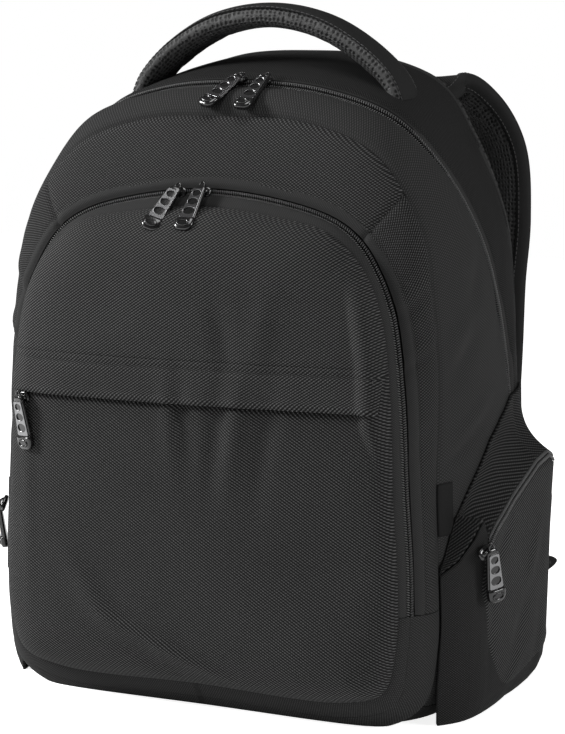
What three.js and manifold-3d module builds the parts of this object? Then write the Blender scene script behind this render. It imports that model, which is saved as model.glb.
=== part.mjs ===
import * as THREE from 'three'
import { mergeVertices } from 'three/addons/utils/BufferGeometryUtils.js'
import Module from 'manifold-3d'

const wasm = await Module()
wasm.setup()

// A laptop backpack standing on its base, in millimetres. +X is the side with the sewn label,
// -Y is the front with the organiser pocket, +Z is up, and the origin is under the middle of the bag.

// Main form: five seam loops run round the bag from the pocket face to the back panel
const bagDepth = 213
const frontReach = 128
const faceHalfWidth = 151.5
const faceTop = 350
const pocketHalfWidth = 157.5
const pocketTop = 359.5
const frontHalfWidth = 165
const frontTop = 412
const zipHalfWidth = 169
const zipTop = 433
const backHalfWidth = 157
const backTop = 453

// Cloth and seams
const wall = 2.4
const backPadding = 7
const seamGap = 0.3
const seatGap = 0.35
const pocketBandSwell = 1
const frontPanelSwell = 5
const frontGussetSwell = 7
const rearGussetSwell = 4
const backSwell = 6
const baseTurnUp = 14

// Seams across the front
const crossSeamHeight = 82
const flapSeamHeight = 245
const flapDrop = 25
const flapTurnUp = 4
const flapHalfWidth = 142
const flapWall = 2.2

// Zips, their sliders and their pulls
const zipWidth = 6.4
const zipRise = 1.6
const zipPlay = 0.45
const sliderLength = 12
const sliderWidth = 8.5
const sliderRise = 4.2
const sliderPlay = 0.1
const pullLength = 38
const pullWidth = 13
const pullThickness = 3.6
const insertLength = 25
const insertWidth = 9
const insertRise = 1
const pullNose = 2
const pullPlay = 0.9
const pullSlack = 4
const sidePullLean = 0.25
const flapPullShare = 0.84
const flapPullBelow = 5

// Haul handle
const handleSpan = 206
const handleRise = 49
const handleWidth = 38
const handleThickness = 13
const handleBack = 10
const stripWidth = 30
const stripThickness = 2.4

// Shoulder straps
const strapWidth = 66
const strapThickness = 13
const strapSpread = 118
const strapReach = 56
const strapTop = 431
const webbingWidth = 25
const webbingThickness = 2
const buckleWidth = 36
const buckleHeight = 28
const buckleThickness = 5
const webbingHold = 0.35
const webbingBow = 0.12

// Side pockets, wings and anchor tabs
const sidePocketReach = 190
const sideZipHeight = 170
const wingHeight = 211
const sidePocketFloor = 1
const sideWall = 2.2
const tabReach = 62
const tabSplay = 13
const tabHeight = 46
const tabFoot = 51
const tabThickness = 3
const tabInset = 4
const tabSink = 3

// Sewn label on the front seam
const labelHeight = 36
const labelWidth = 14
const labelThickness = 1.6
const labelFoot = 131
const labelInset = 2

// How finely the curved cloth is divided
const loopStations = 24
const stepsPerStation = 2
const loopCount = loopStations * stepsPerStation

const colours = {
  twill: [0x2b2b2d, 0.85, 0],
  smoothCloth: [0x242426, 0.8, 0],
  mesh: [0x1f1f21, 0.9, 0],
  webbing: [0x232325, 0.75, 0],
  coil: [0x2a2a2c, 0.5, 0],
  rubber: [0x101012, 0.3, 0],
  gunmetal: [0x8a8a8e, 0.3, 0.9],
  label: [0x38383a, 0.6, 0],
}

// Seam loops: one row per station from the bottom centre round the right side to the top centre.
// Columns: across as a share of the half width, up as a share of the top, back as a share of the depth
const faceEdge = {
  halfWidth: faceHalfWidth,
  top: faceTop,
  rows: [
    [0, 0.057, 0.115], [0.74, 0.057, 0.115], [0.93, 0.085, 0.11], [0.99, 0.171, 0.103],
    [1, 0.291, 0.103], [0.975, 0.463, 0.103], [0.955, 0.654, 0.108], [0.91, 0.797, 0.117],
    [0.84, 0.875, 0.127], [0.745, 0.926, 0.134], [0.62, 0.963, 0.139], [0.345, 0.987, 0.143],
    [0, 1, 0.146],
  ],
}
const pocketSeam = {
  halfWidth: pocketHalfWidth,
  top: pocketTop,
  rows: [
    [0, 0.022, 0.15], [0.75, 0.022, 0.15], [0.945, 0.061, 0.145], [0.993, 0.156, 0.141],
    [1, 0.286, 0.141], [0.975, 0.465, 0.141], [0.952, 0.637, 0.146], [0.9, 0.784, 0.16],
    [0.832, 0.857, 0.169], [0.737, 0.917, 0.178], [0.61, 0.954, 0.188], [0.336, 0.986, 0.195],
    [0, 1, 0.197],
  ],
}
const frontSeam = {
  halfWidth: frontHalfWidth,
  top: frontTop,
  rows: [
    [0, 0, 0.215], [0.77, 0, 0.225], [0.955, 0.042, 0.255], [1, 0.131, 0.277],
    [0.994, 0.272, 0.282], [0.982, 0.405, 0.282], [0.997, 0.556, 0.277], [0.98, 0.709, 0.263],
    [0.945, 0.806, 0.263], [0.848, 0.883, 0.272], [0.68, 0.952, 0.286], [0.364, 0.994, 0.305],
    [0, 1, 0.31],
  ],
}
const zipSeam = {
  halfWidth: zipHalfWidth,
  top: zipTop,
  rows: [
    [0, 0, 0.6], [0.77, 0, 0.61], [0.95, 0.036, 0.648], [0.994, 0.127, 0.732], [1, 0.27, 0.798],
    [0.997, 0.409, 0.826], [0.992, 0.529, 0.812], [0.97, 0.707, 0.695], [0.916, 0.801, 0.61],
    [0.825, 0.878, 0.53], [0.667, 0.949, 0.455], [0.355, 0.99, 0.427], [0, 1, 0.423],
  ],
}
const backSeam = {
  halfWidth: backHalfWidth,
  top: backTop,
  rows: [
    [0, 0.004, 0.967], [0.764, 0.004, 0.967], [0.943, 0.036, 0.981], [0.994, 0.117, 0.995],
    [1, 0.258, 1], [0.997, 0.391, 1], [0.99, 0.536, 1], [0.962, 0.717, 0.995],
    [0.892, 0.803, 0.986], [0.796, 0.876, 0.977], [0.662, 0.949, 0.962], [0.37, 0.991, 0.958],
    [0, 1, 0.958],
  ],
}

// Soft folds and dents on the pocket face and the front of the bag.
// Columns: across as a share of the face half width, up as a share of the face top, lean in degrees
// from upright, run and breadth as shares of the face half width, and how far the cloth stands out
const folds = [
  { across: 0.55, up: 0.42, lean: 2, run: 0.9, breadth: 0.1, out: -2.6 },
  { across: 0.2, up: 0.5, lean: 4, run: 0.35, breadth: 0.08, out: -1.8 },
  { across: -0.1, up: 0.5, lean: -3, run: 0.35, breadth: 0.07, out: 1.6 },
  { across: -0.62, up: 0.17, lean: 62, run: 0.42, breadth: 0.06, out: 2.4 },
  { across: -0.35, up: 0.3, lean: 40, run: 0.4, breadth: 0.08, out: -1.8 },
]

// Side pocket: one row per station from the front seam to the back seam.
// Columns: along as a share of the side's depth, zip and wing heights as shares of their named
// heights, and out as a share of the way to the pocket's reach
const sideStations = [
  { along: 0, zip: 0.61, wing: 0.5, out: 0 },
  { along: 0.05, zip: 0.64, wing: 0.53, out: 0.4 },
  { along: 0.12, zip: 0.7, wing: 0.585, out: 0.86 },
  { along: 0.25, zip: 0.78, wing: 0.69, out: 0.97 },
  { along: 0.45, zip: 0.87, wing: 0.82, out: 1 },
  { along: 0.7, zip: 0.97, wing: 0.92, out: 1 },
  { along: 0.88, zip: 1, wing: 0.98, out: 1 },
  { along: 0.97, zip: 0.97, wing: 1, out: 0.93 },
  { along: 1, zip: 0.92, wing: 1, out: 0.1 },
]
// How the pocket swells from its floor. Columns: up as a share of the zip height, out as a share of
// the station's own, and floor as the share of the wall that lies under the inside
const pocketRise = [
  { up: 0, out: 0, floor: 1 },
  { up: 0.002, out: 0.78, floor: 1 },
  { up: 0.03, out: 0.9, floor: 0.5 },
  { up: 0.12, out: 0.98, floor: 0 },
  { up: 0.4, out: 1, floor: 0 },
  { up: 0.7, out: 1.03, floor: 0 },
  { up: 1, out: 1.12, floor: 0 },
]

// A slider is narrow at both ends. Columns: along as a share of its length, width as a share of its own
const sliderRows = [
  { along: -0.5, width: 0.7 },
  { along: -0.25, width: 1 },
  { along: 0.25, width: 1 },
  { along: 0.5, width: 0.7 },
]

// A pull widens from its neck to its glossy end, as the plate let into it does. Columns: along as a
// share of the length, width as a share of the piece's own
const pullRows = [
  { along: 0, width: 0.45 },
  { along: 0.25, width: 0.8 },
  { along: 0.5, width: 0.9 },
  { along: 0.75, width: 1 },
  { along: 1, width: 0.85 },
]
const plateRows = [
  { along: 0, width: 0.7 },
  { along: 0.33, width: 1 },
  { along: 0.67, width: 1 },
  { along: 1, width: 0.9 },
]
// Half of a pull's section. Columns: across as a share of the width, up as a share of the thickness
const pullEdge = [
  { across: 0.32, up: 0 },
  { across: 0.5, up: 0.3 },
  { across: 0.5, up: 0.7 },
  { across: 0.32, up: 1 },
]

// Anchor tab's free corner. Columns: out as a share of the reach, up as a share of the height
const tabRows = [
  { out: 0.93, up: 0.42 },
  { out: 1, up: 0.5 },
  { out: 0.93, up: 0.58 },
]

// Handle line from foot to foot: across as a share of the half span, up as a share of the rise
const handleRows = [
  { across: -1, up: -0.12 },
  { across: -0.93, up: 0.16 },
  { across: -0.72, up: 0.55 },
  { across: -0.4, up: 0.88 },
  { across: 0, up: 1 },
  { across: 0.4, up: 0.86 },
  { across: 0.72, up: 0.53 },
  { across: 0.93, up: 0.16 },
  { across: 1, up: -0.12 },
]

// Strap line from its root to its lower end: across as a share of the spread, back as a share of
// the reach behind the back panel, up as a share of the strap's top
const strapRows = [
  { across: 0.68, back: -0.06, up: 0.985 },
  { across: 0.72, back: 0.3, up: 1 },
  { across: 0.83, back: 0.68, up: 0.962 },
  { across: 0.94, back: 0.95, up: 0.885 },
  { across: 0.97, back: 0.98, up: 0.77 },
  { across: 0.96, back: 0.88, up: 0.66 },
  { across: 0.97, back: 0.76, up: 0.55 },
  { across: 0.98, back: 0.62, up: 0.45 },
]

// Manifold solids from three.js geometry and back
function solidOf(geometry) {
  const plain = geometry.index ? geometry.clone() : geometry
  plain.deleteAttribute('normal')
  plain.deleteAttribute('uv')
  const merged = mergeVertices(plain, 1e-4)
  const corners = merged.index.array
  const kept = []
  for (let i = 0; i < corners.length; i += 3) {
    const [a, b, c] = [corners[i], corners[i + 1], corners[i + 2]]
    if (a !== b && b !== c && c !== a) kept.push(a, b, c)
  }
  const vertProperties = Float32Array.from(merged.attributes.position.array)
  const solid = new wasm.Manifold(new wasm.Mesh({
    numProp: 3,
    vertProperties,
    triVerts: Uint32Array.from(kept),
  }))
  return solid
}

function geometryOf(solid) {
  const mesh = solid.getMesh()
  const geometry = new THREE.BufferGeometry()
  const places = Float32Array.from(mesh.vertProperties)
  geometry.setAttribute('position', new THREE.BufferAttribute(places, 3))
  geometry.setIndex(Array.from(mesh.triVerts))
  geometry.computeVertexNormals()
  return geometry
}

function largestOf(solid) {
  const pieces = solid.decompose()
  pieces.sort((a, b) => b.volume() - a.volume())
  return pieces[0]
}

function trianglesToSolid(corners) {
  const geometry = new THREE.BufferGeometry()
  const places = Float32Array.from(corners.flatMap((p) => [p.x, p.y, p.z]))
  geometry.setAttribute('position', new THREE.BufferAttribute(places, 3))
  return solidOf(geometry)
}

function blockBetween(low, high) {
  const size = new THREE.Vector3().subVectors(high, low)
  const block = new THREE.BoxGeometry(size.x, size.y, size.z)
  block.translate((low.x + high.x) / 2, (low.y + high.y) / 2, (low.z + high.z) / 2)
  return solidOf(block)
}

const farAway = 900

function above(height) {
  const low = new THREE.Vector3(-farAway, -farAway, height)
  return blockBetween(low, new THREE.Vector3(farAway, farAway, farAway))
}

function below(height) {
  const high = new THREE.Vector3(farAway, farAway, height)
  return blockBetween(new THREE.Vector3(-farAway, -farAway, -farAway), high)
}

// Everything beyond a plane that stands along the Y direction, on the side its normal points to
function beyond(point, normal) {
  const block = new THREE.BoxGeometry(farAway, farAway, farAway)
  block.translate(farAway / 2, 0, 0)
  block.rotateY(-Math.atan2(normal.z, normal.x))
  block.translate(point.x, 0, point.z)
  return solidOf(block)
}

// Seam loops and the cloth between them
function loopCurve({ halfWidth, top, rows }) {
  const right = rows.map(([across, up, back]) => (
    new THREE.Vector3(across * halfWidth, back * bagDepth - frontReach, up * top)
  ))
  const left = right.slice(1, -1).reverse().map((p) => new THREE.Vector3(-p.x, p.y, p.z))
  return new THREE.CatmullRomCurve3([...right, ...left], true, 'centripetal')
}

function loopPoints(curve) {
  return Array.from({ length: loopCount }, (_, i) => {
    const point = curve.getPoint(i / loopCount)
    point.z = Math.max(point.z, 0)
    return point
  })
}

function foldDepth(x, z) {
  return folds.reduce((sum, fold) => {
    const lean = THREE.MathUtils.degToRad(fold.lean)
    const dx = x - fold.across * faceHalfWidth
    const dz = z - fold.up * faceTop
    const along = (dx * Math.sin(lean) + dz * Math.cos(lean)) / (fold.run * faceHalfWidth)
    const aside = (dx * Math.cos(lean) - dz * Math.sin(lean)) / (fold.breadth * faceHalfWidth)
    return sum + fold.out * Math.exp(-along * along - aside * aside)
  }, 0)
}

// Rows of points from one loop to the next, swelling outwards in between
function ringRows(front, rear, count, swell) {
  const rows = []
  for (let j = 0; j <= count; j += 1) {
    const share = j / count
    rows.push(front.map((point, i) => {
      const next = front[(i + 1) % loopCount]
      const last = front[(i + loopCount - 1) % loopCount]
      const outward = new THREE.Vector3(next.z - last.z, 0, last.x - next.x).normalize()
      const place = point.clone().lerp(rear[i], share)
      place.addScaledVector(outward, swell * 4 * share * (1 - share))
      place.z = Math.max(place.z, 0)
      return place
    }))
  }
  return rows
}

// Rows of points from a short upright spine out to a loop, crowned towards crownDepth
function capRows(loop, shares, spineLow, spineHigh, depthAt) {
  return shares.map((share) => loop.map((point) => {
    const spine = THREE.MathUtils.clamp(point.z, spineLow, spineHigh)
    const x = point.x * share
    const z = spine + (point.z - spine) * share
    return new THREE.Vector3(x, depthAt(point, share, x, z), z)
  }))
}

const faceLoop = loopPoints(loopCurve(faceEdge))
const pocketLoop = loopPoints(loopCurve(pocketSeam))
const frontLoop = loopPoints(loopCurve(frontSeam))
const zipLoop = loopPoints(loopCurve(zipSeam))
const backLoop = loopPoints(loopCurve(backSeam))

// The pocket face is boxy: it rolls over near its edge and is flat in the middle
const rollPower = 7
const rollRoot = 0.625
const fadePower = 4

function faceDepthAt(edge, share, x, z) {
  const crown = (1 - share ** rollPower) ** rollRoot
  return edge.y - (edge.y + frontReach) * crown - foldDepth(x, z) * (1 - share ** fadePower)
}

function backDepthAt(edge, share) {
  const middle = bagDepth - frontReach + backSwell
  return THREE.MathUtils.lerp(middle, edge.y, share ** fadePower)
}

const spineLow = 0.44 * faceTop
const spineHigh = 0.58 * faceTop
const faceShares = [0, 0.3, 0.55, 0.74, 0.86, 0.94, 1]
const backShares = [1, 0.9, 0.6, 0]
const facePatch = capRows(faceLoop, faceShares, spineLow, spineHigh, faceDepthAt)
const bandPatch = ringRows(faceLoop, pocketLoop, 1, pocketBandSwell)
const frontPatch = ringRows(pocketLoop, frontLoop, 3, frontPanelSwell)
const frontGussetPatch = ringRows(frontLoop, zipLoop, 3, frontGussetSwell)
const rearGussetPatch = ringRows(zipLoop, backLoop, 2, rearGussetSwell)
const backPatch = capRows(backLoop, backShares, spineLow, spineHigh, backDepthAt)
const allPatches = [facePatch, bandPatch, frontPatch, frontGussetPatch, rearGussetPatch, backPatch]

// Outward normals, shared by neighbouring panels along their seams
const outward = new Map()

// Corners on the same hundredth of a millimetre share one normal; the offset keeps round sizes
// away from the rounding's own steps
const keyScale = 100
const keyOffset = 0.31

function placeKey(point) {
  return point.toArray().map((value) => Math.round(value * keyScale + keyOffset)).join(' ')
}

function forEachQuad(rows, visit) {
  for (let j = 0; j + 1 < rows.length; j += 1) {
    for (let i = 0; i < loopCount; i += 1) {
      const k = (i + 1) % loopCount
      visit(rows[j][i], rows[j + 1][i], rows[j + 1][k], rows[j][k])
    }
  }
}

for (const patch of allPatches) {
  forEachQuad(patch, (a, b, c, d) => {
    const normal = new THREE.Vector3().subVectors(c, a)
    normal.cross(new THREE.Vector3().subVectors(d, b))
    for (const corner of [a, b, c, d]) {
      const key = placeKey(corner)
      const sum = outward.get(key) ?? new THREE.Vector3()
      outward.set(key, sum.add(normal))
    }
  })
}

function normalAt(point) {
  return outward.get(placeKey(point)).clone().normalize()
}

// A layer of cloth over a patch, from one distance outside the skin to another
function layerOver(patch, from, to) {
  const last = patch.length - 1
  const level = (distance) => {
    const rows = patch.map((row) => row.map((point) => (
      point.clone().addScaledVector(normalAt(point), distance)
    )))
    const pullIn = (edge, next) => rows[edge].map((point, i) => {
      const step = new THREE.Vector3().subVectors(rows[next][i], point)
      return point.clone().addScaledVector(step.normalize(), seamGap / 2)
    })
    const first = pullIn(0, 1)
    const final = pullIn(last, last - 1)
    if (!isSpine(patch[0])) rows[0] = first
    if (!isSpine(patch[last])) rows[last] = final
    return rows
  }
  const outer = level(to)
  const inner = level(from)
  const corners = []
  forEachQuad(outer, (a, b, c, d) => corners.push(a, b, c, a, c, d))
  forEachQuad(inner, (a, b, c, d) => corners.push(a, c, b, a, d, c))
  for (let i = 0; i < loopCount; i += 1) {
    const k = (i + 1) % loopCount
    if (!isSpine(patch[0])) {
      const [a, b, c, d] = [outer[0][i], outer[0][k], inner[0][k], inner[0][i]]
      corners.push(a, b, c, a, c, d)
    }
    if (!isSpine(patch[last])) {
      const [a, b, c, d] = [outer[last][i], inner[last][i], inner[last][k], outer[last][k]]
      corners.push(a, b, c, a, c, d)
    }
  }
  return trianglesToSolid(corners)
}

function isSpine(row) {
  return row.every((point) => Math.abs(point.x) < 1e-6)
}

// The whole skin of the bag, grown by a small clearance, for seating what is sewn onto it
function grownSkin(clearance) {
  const corners = []
  for (const patch of allPatches) {
    const grown = patch.map((row) => row.map((point) => (
      point.clone().addScaledVector(normalAt(point), clearance)
    )))
    forEachQuad(grown, (a, b, c, d) => corners.push(a, b, c, a, c, d))
  }
  return trianglesToSolid(corners)
}

const skin = grownSkin(seatGap)
const skinMesh = new THREE.Mesh(geometryOf(skin), new THREE.MeshBasicMaterial({ side: THREE.DoubleSide }))
const caster = new THREE.Raycaster()

function skinPoint(origin, direction) {
  caster.set(origin, direction)
  const hits = caster.intersectObject(skinMesh)
  return hits.length ? hits[0].point : null
}

// Bands swept along a line: each frame has a place, a width direction and an outward direction.
// Both faces of a band fold along the same diagonals, so a twisted band keeps its thickness
function sweepSolid(frames, section) {
  const rings = frames.map(({ place, aside, out }) => section.map(([u, v]) => (
    place.clone().addScaledVector(aside, u).addScaledVector(out, v)
  )))
  const corners = []
  const count = section.length
  for (let j = 0; j + 1 < rings.length; j += 1) {
    for (let i = 0; i < count; i += 1) {
      const k = (i + 1) % count
      const [a, b, c, d] = [rings[j][i], rings[j + 1][i], rings[j + 1][k], rings[j][k]]
      if (i < count / 2) corners.push(a, c, b, a, d, c)
      else corners.push(a, d, b, b, d, c)
    }
  }
  const last = rings[rings.length - 1]
  for (let i = 1; i + 1 < count; i += 1) {
    corners.push(rings[0][0], rings[0][i + 1], rings[0][i])
    corners.push(last[0], last[i], last[i + 1])
  }
  const solid = trianglesToSolid(corners)
  return solid.volume() > 0 ? solid : trianglesToSolid(corners.reverse())
}

function flatSection(width, from, to) {
  return [[-width / 2, from], [width / 2, from], [width / 2, to], [-width / 2, to]]
}

// An oval section with flattened faces
const padSides = 10
const edgeFullness = 0.6
const faceFullness = 0.8

function padSection(width, thickness) {
  return Array.from({ length: padSides }, (_, i) => {
    const angle = (i / padSides) * 2 * Math.PI
    const u = Math.sign(Math.cos(angle)) * Math.abs(Math.cos(angle)) ** edgeFullness
    const v = Math.sign(Math.sin(angle)) * Math.abs(Math.sin(angle)) ** faceFullness
    return [u * width / 2, v * thickness / 2]
  })
}

function framesAlong(points, asideAt) {
  return points.map((place, i) => {
    const ahead = points[Math.min(i + 1, points.length - 1)]
    const behind = points[Math.max(i - 1, 0)]
    const along = new THREE.Vector3().subVectors(ahead, behind).normalize()
    const wish = asideAt(i / (points.length - 1))
    const out = new THREE.Vector3().crossVectors(wish, along).normalize()
    const aside = new THREE.Vector3().crossVectors(along, out).normalize()
    return { place, aside, out, along }
  })
}

// Zips lie along a seam loop; stations count from the bottom centre
function loopFrame(loop, index) {
  const at = (i) => loop[(i + loopCount) % loopCount]
  const place = at(index).clone()
  const along = new THREE.Vector3().subVectors(at(index + 1), at(index - 1)).normalize()
  const out = normalAt(at(index))
  const aside = new THREE.Vector3().crossVectors(along, out).normalize()
  return { place, aside, out, along }
}

function zipAlong(loop, firstStation) {
  const first = Math.round(firstStation * stepsPerStation)
  const frames = []
  for (let i = first; i <= loopCount - first; i += 1) frames.push(loopFrame(loop, i))
  return largestOf(sweepSolid(frames, flatSection(zipWidth, zipLift, zipLift + zipRise)).subtract(skin))
}

const zipLift = seatGap + zipPlay
const pocketZipStation = 3.5
const mainZipStation = 5.5
const shoulderStation = 9

// Panels of the main bag
const faceLayer = layerOver(facePatch, -wall, 0)
const bandLayer = layerOver(bandPatch, -wall, 0)
const frontLayer = layerOver(frontPatch, -wall, 0)
const lowerLayer = layerOver([...bandPatch, ...frontPatch.slice(1)], -wall, 0)
const baseLayer = layerOver([...frontGussetPatch, ...rearGussetPatch.slice(1)], -wall, 0)
const upperFront = above(crossSeamHeight + seamGap / 2)
const underSeam = below(crossSeamHeight - seamGap / 2)
const overBase = above(baseTurnUp + seamGap / 2)

// The diagonal seam at each shoulder joins the front seam's shoulder to the pocket zip's
function shoulderSeam(side) {
  const outer = frontLoop[shoulderStation * stepsPerStation]
  const inner = pocketLoop[shoulderStation * stepsPerStation]
  const run = new THREE.Vector3().subVectors(outer, inner)
  const normal = new THREE.Vector3(-run.z, 0, run.x).normalize()
  const point = inner.clone()
  point.x *= side
  normal.x *= side
  return { point, normal }
}

function offsetPoint(seam, distance) {
  return seam.point.clone().addScaledVector(seam.normal, distance)
}

function frontTopPanel() {
  let panel = frontLayer.intersect(upperFront)
  for (const side of [-1, 1]) {
    const seam = shoulderSeam(side)
    panel = panel.intersect(beyond(offsetPoint(seam, seamGap / 2), seam.normal))
  }
  return largestOf(panel)
}

function frontSidePanel(side) {
  const seam = shoulderSeam(side)
  const kept = beyond(offsetPoint(seam, -seamGap / 2), seam.normal.clone().negate())
  return largestOf(frontLayer.intersect(upperFront).intersect(kept))
}

// The storm flap hangs from its seam over the upper edge of the lower pocket face
function stormFlap() {
  const cloth = layerOver(facePatch, seatGap, seatGap + flapWall)
  const low = new THREE.Vector3(-flapHalfWidth, -farAway, flapSeamHeight - flapDrop)
  const high = new THREE.Vector3(flapHalfWidth, 0, flapSeamHeight + flapTurnUp)
  return cloth.intersect(blockBetween(low, high))
}

// A slider rides on its zip: the frame's along is the zip's own line
const sliderLift = zipLift + zipRise + seatGap + sliderPlay
const pullLift = sliderLift + sliderRise + pullPlay

function sliderSolid({ place, aside, out, along }) {
  const frames = sliderRows.map((row) => ({
    place: place.clone().addScaledVector(along, row.along * sliderLength),
    aside: aside.clone().multiplyScalar(row.width),
    out,
  }))
  const section = flatSection(sliderWidth, sliderLift, sliderLift + sliderRise)
  return sweepSolid(frames, section).subtract(skin)
}

// A pull falls from its slider to rest on the cloth: it starts over the slider and ends just
// clear of the skin below, where lookFrom points back out of the bag
const restShare = 0.4

function pullFrame(sliderFrame, lookFrom, shift) {
  const start = sliderFrame.place.clone().addScaledVector(sliderFrame.out, pullLift)
  const target = start.clone().add(shift)
  const outside = target.clone().addScaledVector(lookFrom, farAway)
  const rest = skinPoint(outside, lookFrom.clone().negate())
  const end = (rest ?? target).clone().addScaledVector(lookFrom, pullThickness * restShare)
  const along = new THREE.Vector3().subVectors(end, start).normalize()
  const aside = new THREE.Vector3().crossVectors(along, lookFrom).normalize()
  const out = new THREE.Vector3().crossVectors(aside, along).normalize()
  return { place: start, aside, out, along }
}

function pullStations({ place, aside, out, along }, from, length, rows) {
  return rows.map((row) => ({
    place: place.clone().addScaledVector(along, from + length * row.along),
    aside: aside.clone().multiplyScalar(row.width),
    out,
  }))
}

function pullSolid(frame) {
  const stations = pullStations(frame, -pullNose, pullLength, pullRows)
  const right = pullEdge.map(({ across, up }) => [across * pullWidth, up * pullThickness])
  const left = right.toReversed().map(([across, up]) => [-across, up])
  return largestOf(sweepSolid(stations, [...right, ...left]).subtract(skin))
}

// What is left of a piece once it keeps the seam gap to its neighbour on every side
function clearOf(piece, neighbour, directions) {
  return largestOf(directions.reduce((left, direction) => (
    left.subtract(neighbour.translate(direction.clone().multiplyScalar(seamGap).toArray()))
  ), piece.subtract(neighbour)))
}

function insertSolid(frame) {
  const stations = pullStations(frame, pullNose, insertLength, plateRows)
  const low = pullThickness + seamGap
  return sweepSolid(stations, flatSection(insertWidth, low, low + insertRise))
}

// The frame of a zip that crosses the top of the bag, at a share of its half width
const searchSpan = 8

function frameAcross(loop, across) {
  const top = loopCount / 2
  let index = top - searchSpan
  while (index < top + searchSpan && loop[index + 1].x > across) index += 1
  const share = (loop[index].x - across) / (loop[index].x - loop[index + 1].x)
  const frame = loopFrame(loop, index)
  const place = loop[index].clone().lerp(loop[index + 1], share)
  return { ...frame, place }
}

// The handle is a padded roll with a plain strip sewn over its top
const straightDown = new THREE.Vector3(0, 0, -1)
const handleSteps = 16

function handlePoints(steps) {
  const crest = skinPoint(new THREE.Vector3(0, handleBack, farAway), straightDown).z
  const foot = skinPoint(new THREE.Vector3(handleSpan / 2, handleBack, farAway), straightDown).z
  const rise = crest + handleRise - handleThickness - foot
  const rows = handleRows.map(({ across, up }) => (
    new THREE.Vector3(across * handleSpan / 2, handleBack, foot + up * rise)
  ))
  return new THREE.CatmullRomCurve3(rows, false, 'centripetal').getPoints(steps)
}

function handlePad() {
  const frames = framesAlong(handlePoints(handleSteps), () => new THREE.Vector3(0, 1, 0))
  const section = padSection(handleWidth, handleThickness)
  return largestOf(sweepSolid(frames, section).subtract(skin))
}

function handleStrip(pad) {
  const frames = framesAlong(handlePoints(handleSteps), () => new THREE.Vector3(0, 1, 0))
  const from = handleThickness / 2 + seatGap
  const outSide = frames[handleSteps / 2].out.z > 0 ? 1 : -1
  const span = flatSection(stripWidth, outSide * from, outSide * (from + stripThickness))
  return largestOf(sweepSolid(frames, span).subtract(skin).subtract(pad))
}

// Shoulder straps: a padded band, a ladder buckle and the webbing down to the anchor tab
const strapSteps = 14
const webbingSteps = 8

function strapPoints(side, steps) {
  const backFace = backSeam.rows[6][2] * bagDepth - frontReach
  const rows = strapRows.map(({ across, back, up }) => (
    new THREE.Vector3(side * across * strapSpread, backFace + back * strapReach, up * strapTop)
  ))
  return new THREE.CatmullRomCurve3(rows, false, 'centripetal').getPoints(steps)
}

function strapFrames(side) {
  return framesAlong(strapPoints(side, strapSteps), () => new THREE.Vector3(1, 0, 0))
}

function strapPad(side) {
  const section = padSection(strapWidth, strapThickness)
  return largestOf(sweepSolid(strapFrames(side), section).subtract(skin))
}

function buckleFrame(side) {
  const frames = strapFrames(side)
  const end = frames[frames.length - 1]
  const place = end.place.clone().addScaledVector(end.along, seatGap + buckleHeight / 2)
  return { ...end, place }
}

function strapBuckle(side) {
  const { place, aside, out, along } = buckleFrame(side)
  const frames = [-0.5, 0.5].map((share) => ({
    place: place.clone().addScaledVector(along, share * buckleHeight),
    aside,
    out,
  }))
  const half = buckleThickness / 2
  return sweepSolid(frames, flatSection(buckleWidth, -half, half))
}

function tabTip(side) {
  const corner = tabCorner(side)
  return new THREE.Vector3(corner.x + side * tabSplay, corner.y + tabReach, tabFoot + tabHeight / 2)
}

function tabCorner(side) {
  const [across, , back] = backSeam.rows[3]
  const y = back * bagDepth - frontReach - tabSink
  return new THREE.Vector3(side * (across * backHalfWidth - tabInset), y, 0)
}

function strapWebbing(side, buckle, tab) {
  const { place, along, out } = buckleFrame(side)
  const start = place.clone().addScaledVector(along, buckleHeight / 2 + seatGap)
  const end = tabTip(side)
  end.y -= tabReach * webbingHold
  end.x -= side * (tabSplay * webbingHold + tabThickness / 2 + webbingThickness / 2 + seatGap)
  const middle = start.clone().lerp(end, 0.5)
  middle.y += webbingBow * strapReach
  const curve = new THREE.CatmullRomCurve3([start, middle, end], false, 'centripetal')
  const frames = framesAlong(curve.getPoints(webbingSteps), (share) => (
    new THREE.Vector3(1 - share, share * side, 0).normalize()
  ))
  const half = webbingThickness / 2
  const band = sweepSolid(frames, flatSection(webbingWidth, -half, half)).subtract(skin)
  const inward = new THREE.Vector3(-side, 0, 0)
  return clearOf(clearOf(band, buckle, [along, out, out.clone().negate()]), tab, [inward])
}

function anchorTab(side) {
  const corner = tabCorner(side)
  const shape = new THREE.Shape()
  shape.moveTo(0, tabFoot)
  for (const { out, up } of tabRows) shape.lineTo(tabReach * out, tabFoot + tabHeight * up)
  shape.lineTo(0, tabFoot + tabHeight)
  shape.closePath()
  const plate = new THREE.ExtrudeGeometry(shape, { depth: tabThickness, bevelEnabled: false })
  plate.rotateX(Math.PI / 2)
  plate.translate(0, tabThickness / 2, 0)
  plate.rotateZ(Math.PI / 2 - side * Math.asin(tabSplay / tabReach))
  plate.translate(corner.x, corner.y, 0)
  return largestOf(solidOf(plate).subtract(skin))
}

// Side pockets stand off the bag's side between the front and back seams
const sideSteps = 2
const sideInset = 5
const overCorner = 30
const sideCount = (sideStations.length - 1) * sideSteps

function stationAt(index) {
  const first = Math.min(Math.floor(index / sideSteps), sideStations.length - 2)
  const share = index / sideSteps - first
  const [a, b] = [sideStations[first], sideStations[first + 1]]
  const mix = (key) => THREE.MathUtils.lerp(a[key], b[key], share)
  return { along: mix('along'), zip: mix('zip'), wing: mix('wing'), out: mix('out') }
}

const flare = pocketRise[pocketRise.length - 1].out

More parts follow.
